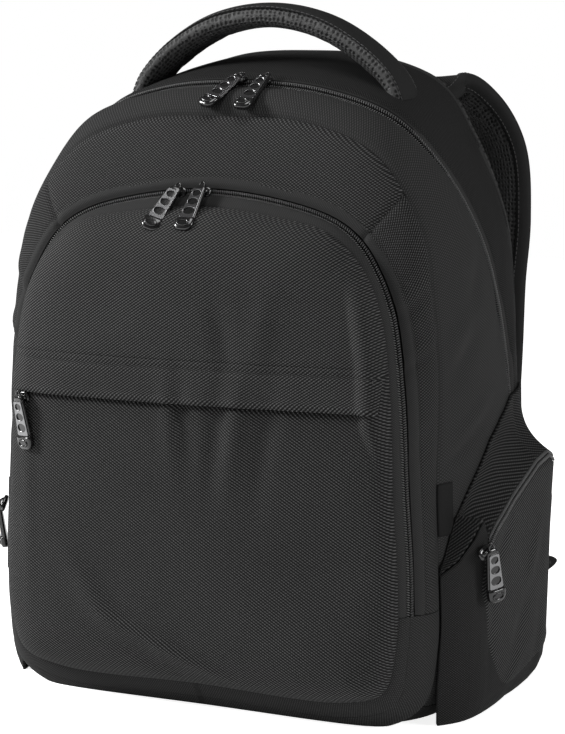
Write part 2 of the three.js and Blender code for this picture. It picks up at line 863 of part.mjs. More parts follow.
function sidePoint(side, station, height, out, floor = 0) {
  const front = frontSeam.rows[4][2] * bagDepth - frontReach
  const rear = backSeam.rows[4][2] * bagDepth - frontReach
  const y = THREE.MathUtils.lerp(front - sideInset / 4, rear - sideInset, station.along)
  const origin = new THREE.Vector3(side * farAway, y, Math.max(height, overCorner))
  const hit = skinPoint(origin, new THREE.Vector3(-side, 0, 0))
  const bare = Math.abs(hit.x)
  const reach = THREE.MathUtils.lerp(bare + sideWall, sidePocketReach, out)
  return {
    outer: new THREE.Vector3(side * reach, y, height),
    inner: new THREE.Vector3(side * Math.max(reach - sideWall, bare), y, height + floor * sideWall),
  }
}

// A shell over the side from a grid of columns, each a list of outer and inner points
function sideShell(columns) {
  const corners = []
  const quad = (a, b, c, d) => corners.push(a, b, c, a, c, d)
  const last = columns.length - 1
  const top = columns[0].length - 1
  for (let i = 0; i < last; i += 1) {
    for (let j = 0; j < top; j += 1) {
      const [a, b, c, d] = [columns[i][j], columns[i + 1][j], columns[i + 1][j + 1], columns[i][j + 1]]
      quad(a.outer, b.outer, c.outer, d.outer)
      quad(a.inner, d.inner, c.inner, b.inner)
    }
    const [a, b, c, d] = [columns[i][0], columns[i + 1][0], columns[i + 1][top], columns[i][top]]
    quad(a.outer, a.inner, b.inner, b.outer)
    quad(d.outer, c.outer, c.inner, d.inner)
  }
  for (let j = 0; j < top; j += 1) {
    const [a, b, c, d] = [columns[0][j], columns[0][j + 1], columns[last][j], columns[last][j + 1]]
    quad(a.outer, b.outer, b.inner, a.inner)
    quad(c.outer, c.inner, d.inner, d.outer)
  }
  const solid = trianglesToSolid(corners)
  const whole = solid.volume() > 0 ? solid : trianglesToSolid(corners.reverse())
  return largestOf(whole.subtract(skin))
}

function pocketColumns(side, first, last) {
  const columns = []
  for (let i = first; i <= last; i += 1) {
    const station = stationAt(i)
    const inset = i === first && first > 0 ? seamGap / 2 : 0
    const outset = i === last && last < sideCount ? -seamGap / 2 : 0
    const shifted = { ...station, along: station.along + (inset + outset) / bagDepth }
    const top = station.zip * sideZipHeight - seamGap / 2
    const span = top - sidePocketFloor
    columns.push(pocketRise.map(({ up, out, floor }) => (
      sidePoint(side, shifted, sidePocketFloor + up * span, station.out * out, floor)
    )))
  }
  return columns
}

const gussetEnd = 4
const wingHollow = 1.7
const wingLeast = 2
const wingShares = [0, 0.35, 0.7, 1]
const sideZipLean = 0.5

function sidePocketGusset(side) {
  return sideShell(pocketColumns(side, 0, gussetEnd))
}

function sidePocketFace(side) {
  return sideShell(pocketColumns(side, gussetEnd, sideCount))
}

function sideWing(side) {
  const columns = []
  for (let i = 0; i <= sideCount; i += 1) {
    const station = stationAt(i)
    const low = station.zip * sideZipHeight + seamGap / 2
    const high = Math.max(station.wing * wingHeight, low + wingLeast)
    columns.push(wingShares.map((share) => (
      sidePoint(side, station, low + share * (high - low), station.out * flare * (1 - share) ** wingHollow)
    )))
  }
  return sideShell(columns)
}

function sideZipFrames(side) {
  const places = []
  for (let i = gussetEnd; i <= sideCount - 1; i += 1) {
    const station = stationAt(i)
    places.push(sidePoint(side, station, station.zip * sideZipHeight, station.out * flare).outer)
  }
  return places.map((place, i) => {
    const ahead = places[Math.min(i + 1, places.length - 1)]
    const behind = places[Math.max(i - 1, 0)]
    const along = new THREE.Vector3().subVectors(ahead, behind).normalize()
    const lean = new THREE.Vector3(side, 0, sideZipLean).normalize()
    const aside = new THREE.Vector3().crossVectors(along, lean).normalize()
    const out = new THREE.Vector3().crossVectors(aside, along).normalize()
    if (out.x * side < 0) out.negate()
    return { place, aside, out, along }
  })
}

function sideZip(side, cloths) {
  const strip = sweepSolid(sideZipFrames(side), flatSection(zipWidth, zipLift, zipLift + zipRise))
  const ways = [new THREE.Vector3(side, 0, 0), new THREE.Vector3(side, 0, 1).normalize()]
  return cloths.reduce((left, cloth) => clearOf(left, cloth, ways), strip)
}

// The sewn label lies back along the side from the front seam
function sideLabel() {
  const cloth = layerOver(frontGussetPatch, seatGap, seatGap + labelThickness)
  const front = frontSeam.rows[5][2] * bagDepth - frontReach
  const low = new THREE.Vector3(0, front + labelInset, labelFoot)
  const high = new THREE.Vector3(farAway, low.y + labelWidth, labelFoot + labelHeight)
  return largestOf(cloth.intersect(blockBetween(low, high)))
}

// The finished bag
const bag = new THREE.Group()
bag.name = 'laptop_backpack'

function addPiece(name, solid, finish) {
  const [color, roughness, metalness] = colours[finish]
  const material = new THREE.MeshStandardMaterial({ color, roughness, metalness })
  const piece = new THREE.Mesh(geometryOf(solid), material)
  piece.name = name
  bag.add(piece)
}

const flap = stormFlap()
const pad = handlePad()
addPiece('pocket_face_upper', largestOf(faceLayer.intersect(above(flapSeamHeight + seamGap / 2))), 'twill')
addPiece('pocket_face_lower', largestOf(faceLayer.intersect(below(flapSeamHeight - seamGap / 2))), 'twill')
addPiece('storm_flap', flap, 'twill')
addPiece('pocket_band', largestOf(bandLayer.intersect(upperFront)), 'smoothCloth')
addPiece('pocket_zip', zipAlong(pocketLoop, pocketZipStation), 'coil')
addPiece('front_panel_top', frontTopPanel(), 'twill')
addPiece('lower_front_panel', largestOf(lowerLayer.intersect(underSeam)), 'smoothCloth')
addPiece('front_gusset', largestOf(layerOver(frontGussetPatch, -wall, 0).intersect(overBase)), 'smoothCloth')
addPiece('main_zip', zipAlong(zipLoop, mainZipStation), 'coil')
addPiece('rear_gusset', largestOf(layerOver(rearGussetPatch, -wall, 0).intersect(overBase)), 'twill')
addPiece('base_panel', largestOf(baseLayer.intersect(below(baseTurnUp - seamGap / 2))), 'twill')
addPiece('back_panel', layerOver(backPatch, -backPadding, 0), 'mesh')
addPiece('handle_pad', pad, 'mesh')
addPiece('handle_top_strip', handleStrip(pad), 'smoothCloth')
addPiece('side_label', sideLabel(), 'label')

function addPull(name, sliderFrame, lookFrom, shift) {
  const frame = pullFrame(sliderFrame, lookFrom, shift)
  const slider = sliderSolid(sliderFrame)
  const ways = [frame.out, frame.along, frame.aside, frame.aside.clone().negate()]
  addPiece(`${name}_slider`, slider, 'gunmetal')
  addPiece(`${name}_pull`, clearOf(pullSolid(frame), slider, ways), 'rubber')
  addPiece(`${name}_pull_plate`, insertSolid(frame), 'gunmetal')
}

const pullFall = pullLength - pullSlack
const toFront = new THREE.Vector3(0, -1, 0)
const pocketPulls = [
  { name: 'pocket_zip_left', across: -0.141, lean: -9 },
  { name: 'pocket_zip_right', across: -0.018, lean: 0 },
]
for (const { name, across, lean } of pocketPulls) {
  const frame = frameAcross(pocketLoop, across * pocketHalfWidth)
  addPull(name, frame, toFront, new THREE.Vector3(lean, 0, -pullFall))
}
const toTop = new THREE.Vector3(0, -0.5, 0.87)
const mainPulls = [
  { name: 'main_zip_left', across: -0.01, lean: -9 },
  { name: 'main_zip_right', across: 0.107, lean: -2 },
]
for (const { name, across, lean } of mainPulls) {
  const frame = frameAcross(zipLoop, across * zipHalfWidth)
  addPull(name, frame, toTop, new THREE.Vector3(lean, -pullFall, 2))
}

// A side pull hangs straight down over its pocket from the front end of the slanted zip
function addSidePull(name, sliderFrame, side) {
  const lookFrom = new THREE.Vector3(side, 0, 0)
  const start = sliderFrame.place.clone().addScaledVector(sliderFrame.out, pullLift)
  start.x = Math.max(Math.abs(start.x), sidePocketReach + seatGap + pullPlay) * side
  const down = new THREE.Vector3(0, sidePullLean, -1).normalize()
  const aside = new THREE.Vector3().crossVectors(down, lookFrom).normalize()
  const frame = { place: start, aside, out: lookFrom, along: down }
  const slider = sliderSolid(sliderFrame)
  const ways = [lookFrom, down, aside, aside.clone().negate()]
  addPiece(`${name}_slider`, slider, 'gunmetal')
  addPiece(`${name}_pull`, clearOf(pullSolid(frame), slider, ways), 'rubber')
  addPiece(`${name}_pull_plate`, insertSolid(frame), 'gunmetal')
}

// The flap's slider waits at the left end of the zip under the flap
function flapPullFrame() {
  const x = -flapPullShare * faceHalfWidth
  const height = flapSeamHeight - flapDrop - flapPullBelow
  const place = skinPoint(new THREE.Vector3(x, -farAway, height), new THREE.Vector3(0, 1, 0))
  const out = new THREE.Vector3(-0.2, -0.98, 0).normalize()
  const along = new THREE.Vector3(0.98, -0.2, 0).normalize()
  return { place, aside: new THREE.Vector3(0, 0, 1), out, along }
}

const toFlapSide = new THREE.Vector3(-0.35, -0.94, 0)
addPull('flap_zip', flapPullFrame(), toFlapSide, new THREE.Vector3(3, 0, -pullFall))

for (const [side, hand] of [[-1, 'left'], [1, 'right']]) {
  addPiece(`front_panel_${hand}`, frontSidePanel(side), 'twill')
  addPiece(`side_pocket_gusset_${hand}`, sidePocketGusset(side), 'twill')
  const face = sidePocketFace(side)
  addPiece(`side_pocket_face_${hand}`, face, 'twill')
  const wing = sideWing(side)
  addPiece(`side_wing_${hand}`, wing, 'twill')
  addPiece(`side_zip_${hand}`, sideZip(side, [face, wing]), 'coil')
  addSidePull(`side_zip_${hand}`, sideZipFrames(side)[0], side)
  addPiece(`strap_pad_${hand}`, strapPad(side), 'mesh')
  const buckle = strapBuckle(side)
  addPiece(`strap_buckle_${hand}`, buckle, 'rubber')
  const tab = anchorTab(side)
  addPiece(`strap_webbing_${hand}`, strapWebbing(side, buckle, tab), 'webbing')
  addPiece(`anchor_tab_${hand}`, tab, 'webbing')
}

export default bag
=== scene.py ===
import math

import bmesh
import bpy
import numpy as np
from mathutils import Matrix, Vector
from mathutils.bvhtree import BVHTree


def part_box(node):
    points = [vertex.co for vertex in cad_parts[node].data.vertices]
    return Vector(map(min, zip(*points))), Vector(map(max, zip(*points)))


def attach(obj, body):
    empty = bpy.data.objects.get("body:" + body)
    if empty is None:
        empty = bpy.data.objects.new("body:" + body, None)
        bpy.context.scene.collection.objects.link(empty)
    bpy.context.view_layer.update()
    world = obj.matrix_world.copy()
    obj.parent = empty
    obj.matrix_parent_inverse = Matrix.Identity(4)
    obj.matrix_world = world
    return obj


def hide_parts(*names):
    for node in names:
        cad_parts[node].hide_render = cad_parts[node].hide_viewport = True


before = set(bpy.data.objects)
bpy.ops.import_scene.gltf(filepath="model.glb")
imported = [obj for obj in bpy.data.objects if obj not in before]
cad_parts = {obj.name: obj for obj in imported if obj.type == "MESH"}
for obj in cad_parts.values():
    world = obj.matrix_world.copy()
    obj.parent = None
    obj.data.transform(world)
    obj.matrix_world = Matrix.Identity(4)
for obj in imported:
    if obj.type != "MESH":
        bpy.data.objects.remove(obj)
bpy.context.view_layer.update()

# The camera: it stands at the bag's front right, level with its top, and looks slightly down
# through a long lens.
scene = bpy.context.scene
camera_data = bpy.data.cameras.new("camera")
camera = bpy.data.objects.new("camera", camera_data)
scene.collection.objects.link(camera)
scene.camera = camera
picture_height = 734
lens_in_pixels = 2600
camera_data.sensor_width = 36
camera_data.lens = lens_in_pixels * camera_data.sensor_width / picture_height
camera_azimuth = math.radians(27)
camera_pitch = math.radians(8.03)
camera.location = (0.8577, -1.6584, 0.492)
camera.rotation_euler = (math.pi / 2 - camera_pitch, 0, camera_azimuth)

# The studio: a pale floor, a white surround, and three soft boxes that stay outside the view. One
# grazes the front from the left, one lights the right side, and one hangs overhead.
floor_size = 6
bpy.ops.mesh.primitive_plane_add(size=floor_size, location=(0, 0, -0.0002))
floor = bpy.context.object
floor.name = "studio_floor"
floor_paint = bpy.data.materials.new("floor_paint")
floor_paint.use_nodes = True
floor_tree = floor_paint.node_tree
floor_shader = floor_tree.nodes["Principled BSDF"]
floor_shader.inputs["Base Color"].default_value = (0.9, 0.9, 0.9, 1)
floor_shader.inputs["Roughness"].default_value = 0.9
floor_shader.inputs["Emission Color"].default_value = (1, 1, 1, 1)
floor_seen = floor_tree.nodes.new("ShaderNodeMath")
floor_seen.operation = "MULTIPLY_ADD"
floor_seen.inputs[1].default_value = 0.65
floor_seen.inputs[2].default_value = 0.2
floor_ray = floor_tree.nodes.new("ShaderNodeLightPath").outputs["Is Camera Ray"]
floor_tree.links.new(floor_ray, floor_seen.inputs[0])
floor_tree.links.new(floor_seen.outputs[0], floor_shader.inputs["Emission Strength"])
floor.data.materials.append(floor_paint)

scene.view_settings.view_transform = "Standard"
surround = bpy.data.worlds.new("surround")
surround.use_nodes = True
studio_air = surround.node_tree
fill_light = studio_air.nodes["Background"]
fill_light.inputs["Color"].default_value = (1, 1, 1, 1)
fill_light.inputs["Strength"].default_value = 0.1
white_sweep = studio_air.nodes.new("ShaderNodeBackground")
white_sweep.inputs["Color"].default_value = (1, 1, 1, 1)
seen_or_lit = studio_air.nodes.new("ShaderNodeMixShader")
seen_ray = studio_air.nodes.new("ShaderNodeLightPath").outputs["Is Camera Ray"]
studio_air.links.new(seen_ray, seen_or_lit.inputs[0])
studio_air.links.new(fill_light.outputs[0], seen_or_lit.inputs[1])
studio_air.links.new(white_sweep.outputs[0], seen_or_lit.inputs[2])
studio_air.links.new(seen_or_lit.outputs[0], studio_air.nodes["World Output"].inputs["Surface"])
scene.world = surround


def soft_box(name, place, target, size, power):
    light = bpy.data.lights.new(name, "AREA")
    light.size = size
    light.energy = power
    lamp = bpy.data.objects.new(name, light)
    scene.collection.objects.link(lamp)
    lamp.location = place
    lamp.rotation_euler = (Vector(target) - Vector(place)).to_track_quat("-Z", "Y").to_euler()


soft_box("key_light", (-2.0, -0.95, 1.35), (0, -0.1, 0.22), 0.6, 72)
soft_box("right_light", (2.2, 0.1, 0.9), (0.1, 0, 0.2), 0.6, 19)
soft_box("top_light", (0.1, -0.5, 2.1), (0, 0, 0.3), 0.9, 13)

# Pocket face: the boxy front of the organiser pocket, cut from coarse ballistic twill. It is sewn in
# two parts that meet at the flap's seam, and rolls back to the smooth band round its edge.
mm = 0.001
bag_depth = 213
front_reach = 128
stations_per_row = 24
face_edge_rows = [
    (0, 0.057, 0.115), (0.74, 0.057, 0.115), (0.93, 0.085, 0.11), (0.99, 0.171, 0.103),
    (1, 0.291, 0.103), (0.975, 0.463, 0.103), (0.955, 0.654, 0.108), (0.91, 0.797, 0.117),
    (0.84, 0.875, 0.127), (0.745, 0.926, 0.134), (0.62, 0.963, 0.139), (0.345, 0.987, 0.143),
    (0, 1, 0.146),
]
face_half_width = 151.5
face_top = 350
flap_seam_height = 245


def smooth_line(points, count, closed=False):
    points = np.asarray(points, float)
    spans = len(points) if closed else len(points) - 1
    if closed:
        around = np.concatenate([points[-1:], points, points[:2]])
    else:
        first = 2 * points[0] - points[1]
        last = 2 * points[-1] - points[-2]
        around = np.concatenate([[first], points, [last]])
    way = np.arange(count) / count * spans if closed else np.linspace(0, spans, count)
    index = np.minimum(way.astype(int), spans - 1)
    w = (way - index)[:, None]
    a, b, c, d = (around[index + i] for i in range(4))

    def reach(p, q):
        return np.maximum(((p - q) ** 2).sum(1), 1e-12)[:, None] ** 0.25

    ab, bc, cd = reach(a, b), reach(b, c), reach(c, d)
    start = ((b - a) / ab - (c - a) / (ab + bc) + (c - b) / bc) * bc
    end = ((c - b) / bc - (d - b) / (bc + cd) + (d - c) / cd) * bc
    bend = -3 * b + 3 * c - 2 * start - end
    return b + start * w + bend * w ** 2 + (2 * b - 2 * c + start + end) * w ** 3


def seam_loop(half_width, top, rows):
    right = [(across * half_width, back * bag_depth - front_reach, up * top) for across, up, back in rows]
    left = [(-x, y, z) for x, y, z in right[-2:0:-1]]
    loop = smooth_line(right + left, stations_per_row * (len(right) + len(left)), closed=True)
    loop[:, 2] = np.maximum(loop[:, 2], 0)
    return loop


def surface_normals(grid, closed=True):
    if closed:
        along = np.roll(grid, -1, 1) - np.roll(grid, 1, 1)
    else:
        along = np.gradient(grid, axis=1)
    across = np.gradient(grid, axis=0)
    normal = np.cross(across, along)
    length = np.linalg.norm(normal, axis=2, keepdims=True)
    return normal / np.maximum(length, 1e-9)


def arc_from(grid, axis):
    step = np.linalg.norm(np.diff(grid, axis=axis), axis=2)
    pad = [(0, 0), (0, 0)]
    pad[axis] = (1, 0)
    return np.cumsum(np.pad(step, pad), axis=axis)


def seam_tuck(grid, depth, width, start=True, end=True):
    arc = arc_from(grid, 0)
    tuck = np.zeros(arc.shape)
    if start:
        tuck -= depth * np.exp(-(arc / width) ** 2)
    if end:
        tuck -= depth * np.exp(-((arc[-1] - arc) / width) ** 2)
    return tuck


def fold_heights(a, b, rows):
    total = np.zeros(a.shape)
    for at_a, at_b, lean, run, breadth, out in rows:
        turn = math.radians(lean)
        da = a - at_a
        db = b - at_b
        along = (da * math.sin(turn) + db * math.cos(turn)) / run
        aside = (da * math.cos(turn) - db * math.sin(turn)) / breadth
        total += out * np.exp(-along ** 2 - aside ** 2)
    return total


def mesh_from(name, grid, uv, closed=True):
    rows, count = grid.shape[:2]
    mesh = bpy.data.meshes.new(name)
    wrap = count if closed else count - 1
    j, i = np.meshgrid(np.arange(rows - 1), np.arange(wrap), indexing="ij")
    k = (i + 1) % count
    quads = np.stack([j * count + i, (j + 1) * count + i, (j + 1) * count + k, j * count + k], -1)
    quads = quads.reshape(-1, 4)
    mesh.from_pydata((grid.reshape(-1, 3) * mm).tolist(), [], quads[:, ::-1].tolist())
    layer = mesh.uv_layers.new(name="cloth")
    flat = uv.reshape(-1, 2)[quads[:, ::-1].reshape(-1)]
    layer.data.foreach_set("uv", (flat * mm).astype(np.float32).reshape(-1))
    mesh.validate()
    mesh.shade_smooth()
    return mesh


def trim(mesh, height, keep_above):
    work = bmesh.new()
    work.from_mesh(mesh)
    bmesh.ops.remove_doubles(work, verts=work.verts, dist=0.02 * mm)
    bmesh.ops.bisect_plane(
        work, geom=work.verts[:] + work.edges[:] + work.faces[:], plane_co=(0, 0, height * mm),
        plane_no=(0, 0, 1), clear_inner=keep_above, clear_outer=not keep_above,
    )
    work.to_mesh(mesh)
    work.free()


def add_piece(name, mesh, material, slot, *nodes):
    piece = bpy.data.objects.new(name, mesh)
    scene.collection.objects.link(piece)
    if not mesh.materials:
        mesh.materials.append(material)
    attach(piece, "root")
    if nodes:
        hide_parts(*nodes)
    return piece


def thicken(piece, thickness):
    solid = piece.modifiers.new("cloth_thickness", "SOLIDIFY")
    solid.thickness = thickness * mm
    solid.offset = -1
    solid.use_even_offset = False


# Twill cloth: its dark colour is the cloth's black tone deepened as painted shade between the threads, and
# its light colour is painted highlight on the thread crowns.
def twill_cloth(name, dark, light, across, up, rising, depth=0.35, roughness=0.72):
    paint = bpy.data.materials.new(name)
    paint.use_nodes = True
    tree = paint.node_tree
    shader = tree.nodes["Principled BSDF"]

    def node(kind, **settings):
        made = tree.nodes.new(kind)
        for key, value in settings.items():
            setattr(made, key, value)
        return made

    def maths(operation, *values):
        made = node("ShaderNodeMath", operation=operation)
        for slot, value in enumerate(values):
            if isinstance(value, (int, float)):
                made.inputs[slot].default_value = value
            else:
                tree.links.new(value, made.inputs[slot])
        return made.outputs[0]

    places = node("ShaderNodeUVMap", uv_map="cloth")
    split = node("ShaderNodeSeparateXYZ")
    tree.links.new(places.outputs[0], split.inputs[0])
    drift = node("ShaderNodeTexNoise")
    drift.inputs["Scale"].default_value = 60
    drift.inputs["Detail"].default_value = 2
    tree.links.new(places.outputs[0], drift.inputs["Vector"])
    wobble = maths("MULTIPLY", drift.outputs["Fac"], 0.6)
    u = maths("MULTIPLY", split.outputs[0], 2000 * math.pi / across)
    v = maths("MULTIPLY", split.outputs[1], 2000 * math.pi / up)
    u = maths("ADD", u, wobble)
    rise = maths("COSINE", maths("ADD", u, v))
    fall = maths("COSINE", maths("SUBTRACT", u, v))
    weave = maths("ADD", maths("MULTIPLY", rise, 0.5 * rising), maths("MULTIPLY", fall, 0.5 - 0.5 * rising))
    # Painted light: the raised thread crowns take the light colour as their highlight and the hollows
    # between them take the dark colour as their shade; the same mask drives the bump.
    thread = maths("MAXIMUM", maths("MULTIPLY_ADD", weave, 1.7, 0.3), 0.0)
    mottle = node("ShaderNodeTexNoise")
    mottle.inputs["Scale"].default_value = 900
    mottle.inputs["Detail"].default_value = 3
    tree.links.new(places.outputs[0], mottle.inputs["Vector"])
    patch = node("ShaderNodeTexNoise")
    patch.inputs["Scale"].default_value = 14
    tree.links.new(places.outputs[0], patch.inputs["Vector"])
    flecks = maths("MULTIPLY", maths("SUBTRACT", mottle.outputs["Fac"], 0.5), 0.9)
    shades = maths("MULTIPLY", maths("SUBTRACT", patch.outputs["Fac"], 0.5), 0.35)
    # Painted highlight on the thread crowns, broken by random flecks of fibre tone; the large patches add
    # random tone.
    painted_glint_and_flecks = maths("MULTIPLY", maths("POWER", thread, 1.4), maths("ADD", flecks, 1.0))
    painted_glint_and_tone = maths("MULTIPLY", painted_glint_and_flecks, maths("ADD", shades, 0.8))
    tint = node("ShaderNodeMix", data_type="RGBA")
    tint.inputs["A"].default_value = (*dark, 1)
    tint.inputs["B"].default_value = (*light, 1)
    tree.links.new(painted_glint_and_tone, tint.inputs["Factor"])
    tree.links.new(tint.outputs["Result"], shader.inputs["Base Color"])
    bump = node("ShaderNodeBump")
    bump.inputs["Distance"].default_value = depth * mm
    bump.inputs["Strength"].default_value = 0.8
    tree.links.new(maths("ADD", thread, maths("MULTIPLY", flecks, 0.4)), bump.inputs["Height"])
    tree.links.new(bump.outputs[0], shader.inputs["Normal"])
    shader.inputs["Roughness"].default_value = roughness
    shader.inputs["Specular IOR Level"].default_value = 0.06
    return paint


# Folds on a face: middle across and up, lean from upright in degrees, run, breadth and height, in mm
face_folds = [
    (-126, 190, 0, 120, 6, 1.8),
    (-60, 250, 60, 60, 22, 1.4),
    (-8, 203, -6, 30, 6, 1.9),
    (3, 200, -4, 34, 6, -1.9),
    (26, 198, 6, 40, 7, -2.2),
    (40, 200, 8, 34, 6, 2.0),
    (62, 196, 9, 40, 8, -1.9),
    (-5, 43, 113, 62, 5, 3.4),
    (-14, 31, 112, 55, 7, -3.0),
    (-70, 78, 140, 34, 9, 2.4),
    (30, 268, -12, 22, 8, -1.9),
    (60, 275, 10, 26, 9, 1.6),
    (117, 323, 43, 12, 2.4, -3.2),
    (139, 41, 68, 13, 2.6, -3.0),
    (126, 36, -66, 11, 6, 2.0),
]
face_crown = 7
face_roll = 0.625
face_rows = 64
flap_gap = 0.25
cloth_thickness = 2.2

face_loop = seam_loop(face_half_width, face_top, face_edge_rows)
spine = np.clip(face_loop[:, 2], 0.44 * face_top, 0.58 * face_top)
face_shares = np.sin(np.linspace(0, math.pi / 2, face_rows)) ** 0.85
face_grid = np.zeros((face_rows, len(face_loop), 3))
face_grid[..., 0] = face_shares[:, None] * face_loop[None, :, 0]
face_grid[..., 2] = spine[None] + face_shares[:, None] * (face_loop[:, 2] - spine)[None]
crown = (1 - face_shares ** face_crown)[:, None] ** face_roll
fade = (1 - face_shares ** 6)[:, None]
edge_depth = face_loop[None, :, 1]
face_relief = fold_heights(face_grid[..., 0], face_grid[..., 2], face_folds)
hollow_depth = 15
# Ridge beside the hollow of the face: height, and how far across it stands there, in mm
ridge_rows = [(107, 152), (133, 150), (159, 146), (185, 139), (211, 127), (257, 123), (296, 116)]
ridge_line = np.interp(face_grid[..., 2], *np.transpose(ridge_rows))
hollow_slide = np.clip((face_grid[..., 0] + 40) / (ridge_line + 40), 0, 1) ** 2
hollow_return = np.clip((face_grid[..., 0] - ridge_line) / 14, 0, 1)
hollow_run = np.clip((face_grid[..., 2] - 20) / 90, 0, 1) * np.clip((345 - face_grid[..., 2]) / 55, 0, 1)
face_relief -= hollow_depth * hollow_run * hollow_slide * (1 - hollow_return ** 2 * (3 - 2 * hollow_return))
face_grid[..., 1] = edge_depth - (edge_depth + front_reach) * crown - face_relief * fade
flap_bed = face_grid.copy()
under_flap = np.exp(-((face_grid[..., 2] - 224) / 6) ** 4) / (1 + np.exp((abs(face_grid[..., 0]) - 132) / 2))
face_grid[..., 1] += 3.2 * under_flap * fade
# Dark and light colours of the face twills: painted shade between the threads and painted highlight on their
# crowns.
face_twill_upper = twill_cloth("face_twill_upper", (0.010,) * 3, (0.115,) * 3, 3.15, 2.05, 0.3)
face_twill_lower = twill_cloth("face_twill_lower", (0.010,) * 3, (0.105,) * 3, 3.3, 2.15, 0.72)
for name, keep_above, paint in [
    ("pocket_face_upper", True, face_twill_upper), ("pocket_face_lower", False, face_twill_lower),
]:
    cut = flap_seam_height + (flap_gap if keep_above else -flap_gap)
    face_mesh = mesh_from(name, face_grid, face_grid[..., [0, 2]])
    trim(face_mesh, cut, keep_above)
    face_piece = add_piece(f"{name}_cloth", face_mesh, paint, "twill", name)
    thicken(face_piece, cloth_thickness)

# Storm flap: a doubled strip of the same twill across the pocket face. Its upper edge is stitched
# down, its free lower edge hangs over the zip beneath, and a bar tack holds its right end.
flap_half_width = 142
flap_drop = 25
flap_turn_up = 4
flap_lift = 1.0
flap_hem = 2.2
stitch_length = 2.7
stitch_pitch = 3.6


def seat_of(*grids):
    places = []
    faces = []
    for grid in grids:
        rows, count = grid.shape[:2]
        first = len(places)
        places.extend(map(Vector, grid.reshape(-1, 3)))
        for j in range(rows - 1):
            row = first + j * count
            faces.extend((row + i, row + count + i, row + count + (i + 1) % count, row + (i + 1) % count)
                         for i in range(count))
    return BVHTree.FromPolygons(places, faces)


def seat_along(seat, origins, direction):
    found = [seat.ray_cast(Vector(origin), Vector(direction))[0] for origin in origins]
    return np.array([list(hit) if hit else list(origin) for hit, origin in zip(found, origins)])


def beads(name, centres, along, out, length, width, height, material, slot):
    aside = np.cross(along, out)
    rings = [(-0.5, 0), (-0.42, 0.8), (0, 1), (0.42, 0.8), (0.5, 0)]
    sides = 6
    shape = []
    for place, girth in rings:
        for turn in range(sides if girth else 1):
            angle = 2 * math.pi * turn / sides
            shape.append((place * length, girth * math.cos(angle) * width / 2,
                          girth * math.sin(angle) * height / 2))
    shape = np.array(shape)
    faces = [(0, 1 + (k + 1) % sides, 1 + k) for k in range(sides)]
    for band in range(2):
        low = 1 + band * sides
        faces += [(low + k, low + (k + 1) % sides, low + sides + (k + 1) % sides, low + sides + k)
                  for k in range(sides)]
    tip = len(shape) - 1
    faces += [(tip, tip - sides + k, tip - sides + (k + 1) % sides) for k in range(sides)]
    points = (centres[:, None] + shape[None, :, :1] * along[:, None]
              + shape[None, :, 1:2] * aside[:, None] + shape[None, :, 2:] * out[:, None])
    count = len(centres)
    all_faces = [tuple(corner + k * len(shape) for corner in face) for k in range(count) for face in faces]
    mesh = bpy.data.meshes.new(name)
    mesh.from_pydata((points.reshape(-1, 3) * mm).tolist(), [], all_faces)
    mesh.shade_smooth()
    return add_piece(name, mesh, material, slot)


def evenly(path, pitch, *fields):
    step = np.linalg.norm(np.diff(path, axis=0), axis=1)
    arc = np.concatenate([[0], np.cumsum(step)])
    stops = np.arange(pitch / 2, arc[-1], pitch)

    def along_path(values):
        return np.stack([np.interp(stops, arc, values[:, axis]) for axis in range(3)], -1)

    return [along_path(values) for values in (path, *fields)]


def unit(vectors):
    return vectors / np.maximum(np.linalg.norm(vectors, axis=-1, keepdims=True), 1e-9)


def stitch_run(name, path, out, thread, slot, length=None, pitch=None, sink=0.1):
    places, outs = evenly(path, pitch or stitch_pitch, out)
    heading = unit(np.gradient(places, axis=0))
    outs = unit(outs - heading * (outs * heading).sum(1, keepdims=True))
    return beads(name, places + outs * sink, heading, outs, length or stitch_length, 0.75, 0.6, thread, slot)


def speckled_finish(name, speck_scale, dark, light, roughness):
    finish = bpy.data.materials.new(name)
    finish.use_nodes = True
    tree = finish.node_tree
    shader = tree.nodes["Principled BSDF"]
    specks = tree.nodes.new("ShaderNodeTexNoise")
    specks.inputs["Scale"].default_value = speck_scale
    tint = tree.nodes.new("ShaderNodeMix")
    tint.data_type = "RGBA"
    tint.inputs["A"].default_value = (*dark, 1)
    tint.inputs["B"].default_value = (*light, 1)
    tree.links.new(specks.outputs["Fac"], tint.inputs["Factor"])
    tree.links.new(tint.outputs["Result"], shader.inputs["Base Color"])
    shader.inputs["Roughness"].default_value = roughness
    return finish


thread = speckled_finish("sewing_thread", 1400, (0.008, 0.008, 0.009), (0.09, 0.09, 0.09), 0.55)

face_seat = seat_of(flap_bed)
flap_columns = 150
flap_rows = 22
flap_x, flap_z = np.meshgrid(
    np.linspace(-flap_half_width, flap_half_width, flap_columns),
    np.linspace(flap_seam_height + flap_turn_up, flap_seam_height - flap_drop, flap_rows),
)
flap_from = np.stack([flap_x, np.full_like(flap_x, -400), flap_z], -1).reshape(-1, 3)
flap_grid = seat_along(face_seat, flap_from, (0, 1, 0)).reshape(flap_rows, flap_columns, 3)
flap_share = np.linspace(0, 1, flap_rows)[:, None]
flap_wave = 0.45 * np.sin(flap_x / 21 + 1.3) + 0.35 * np.sin(flap_x / 9.5)
flap_rise = flap_lift + flap_hem * flap_share ** 1.5 + flap_wave * flap_share ** 2
flap_rise += 0.8 * np.exp(-((flap_share - 0.93) / 0.06) ** 2)
flap_rise -= 0.9 * np.exp(-((flap_share - 0.2) / 0.07) ** 2)
flap_grid[..., 1] -= flap_rise
flap_mesh = mesh_from("storm_flap", flap_grid, flap_grid[..., [0, 2]], closed=False)
flap_piece = add_piece("storm_flap_cloth", flap_mesh, face_twill_upper, "twill", "storm_flap")
thicken(flap_piece, 1.9)
flap_line = flap_grid[4] - (0, 0.1, 0)
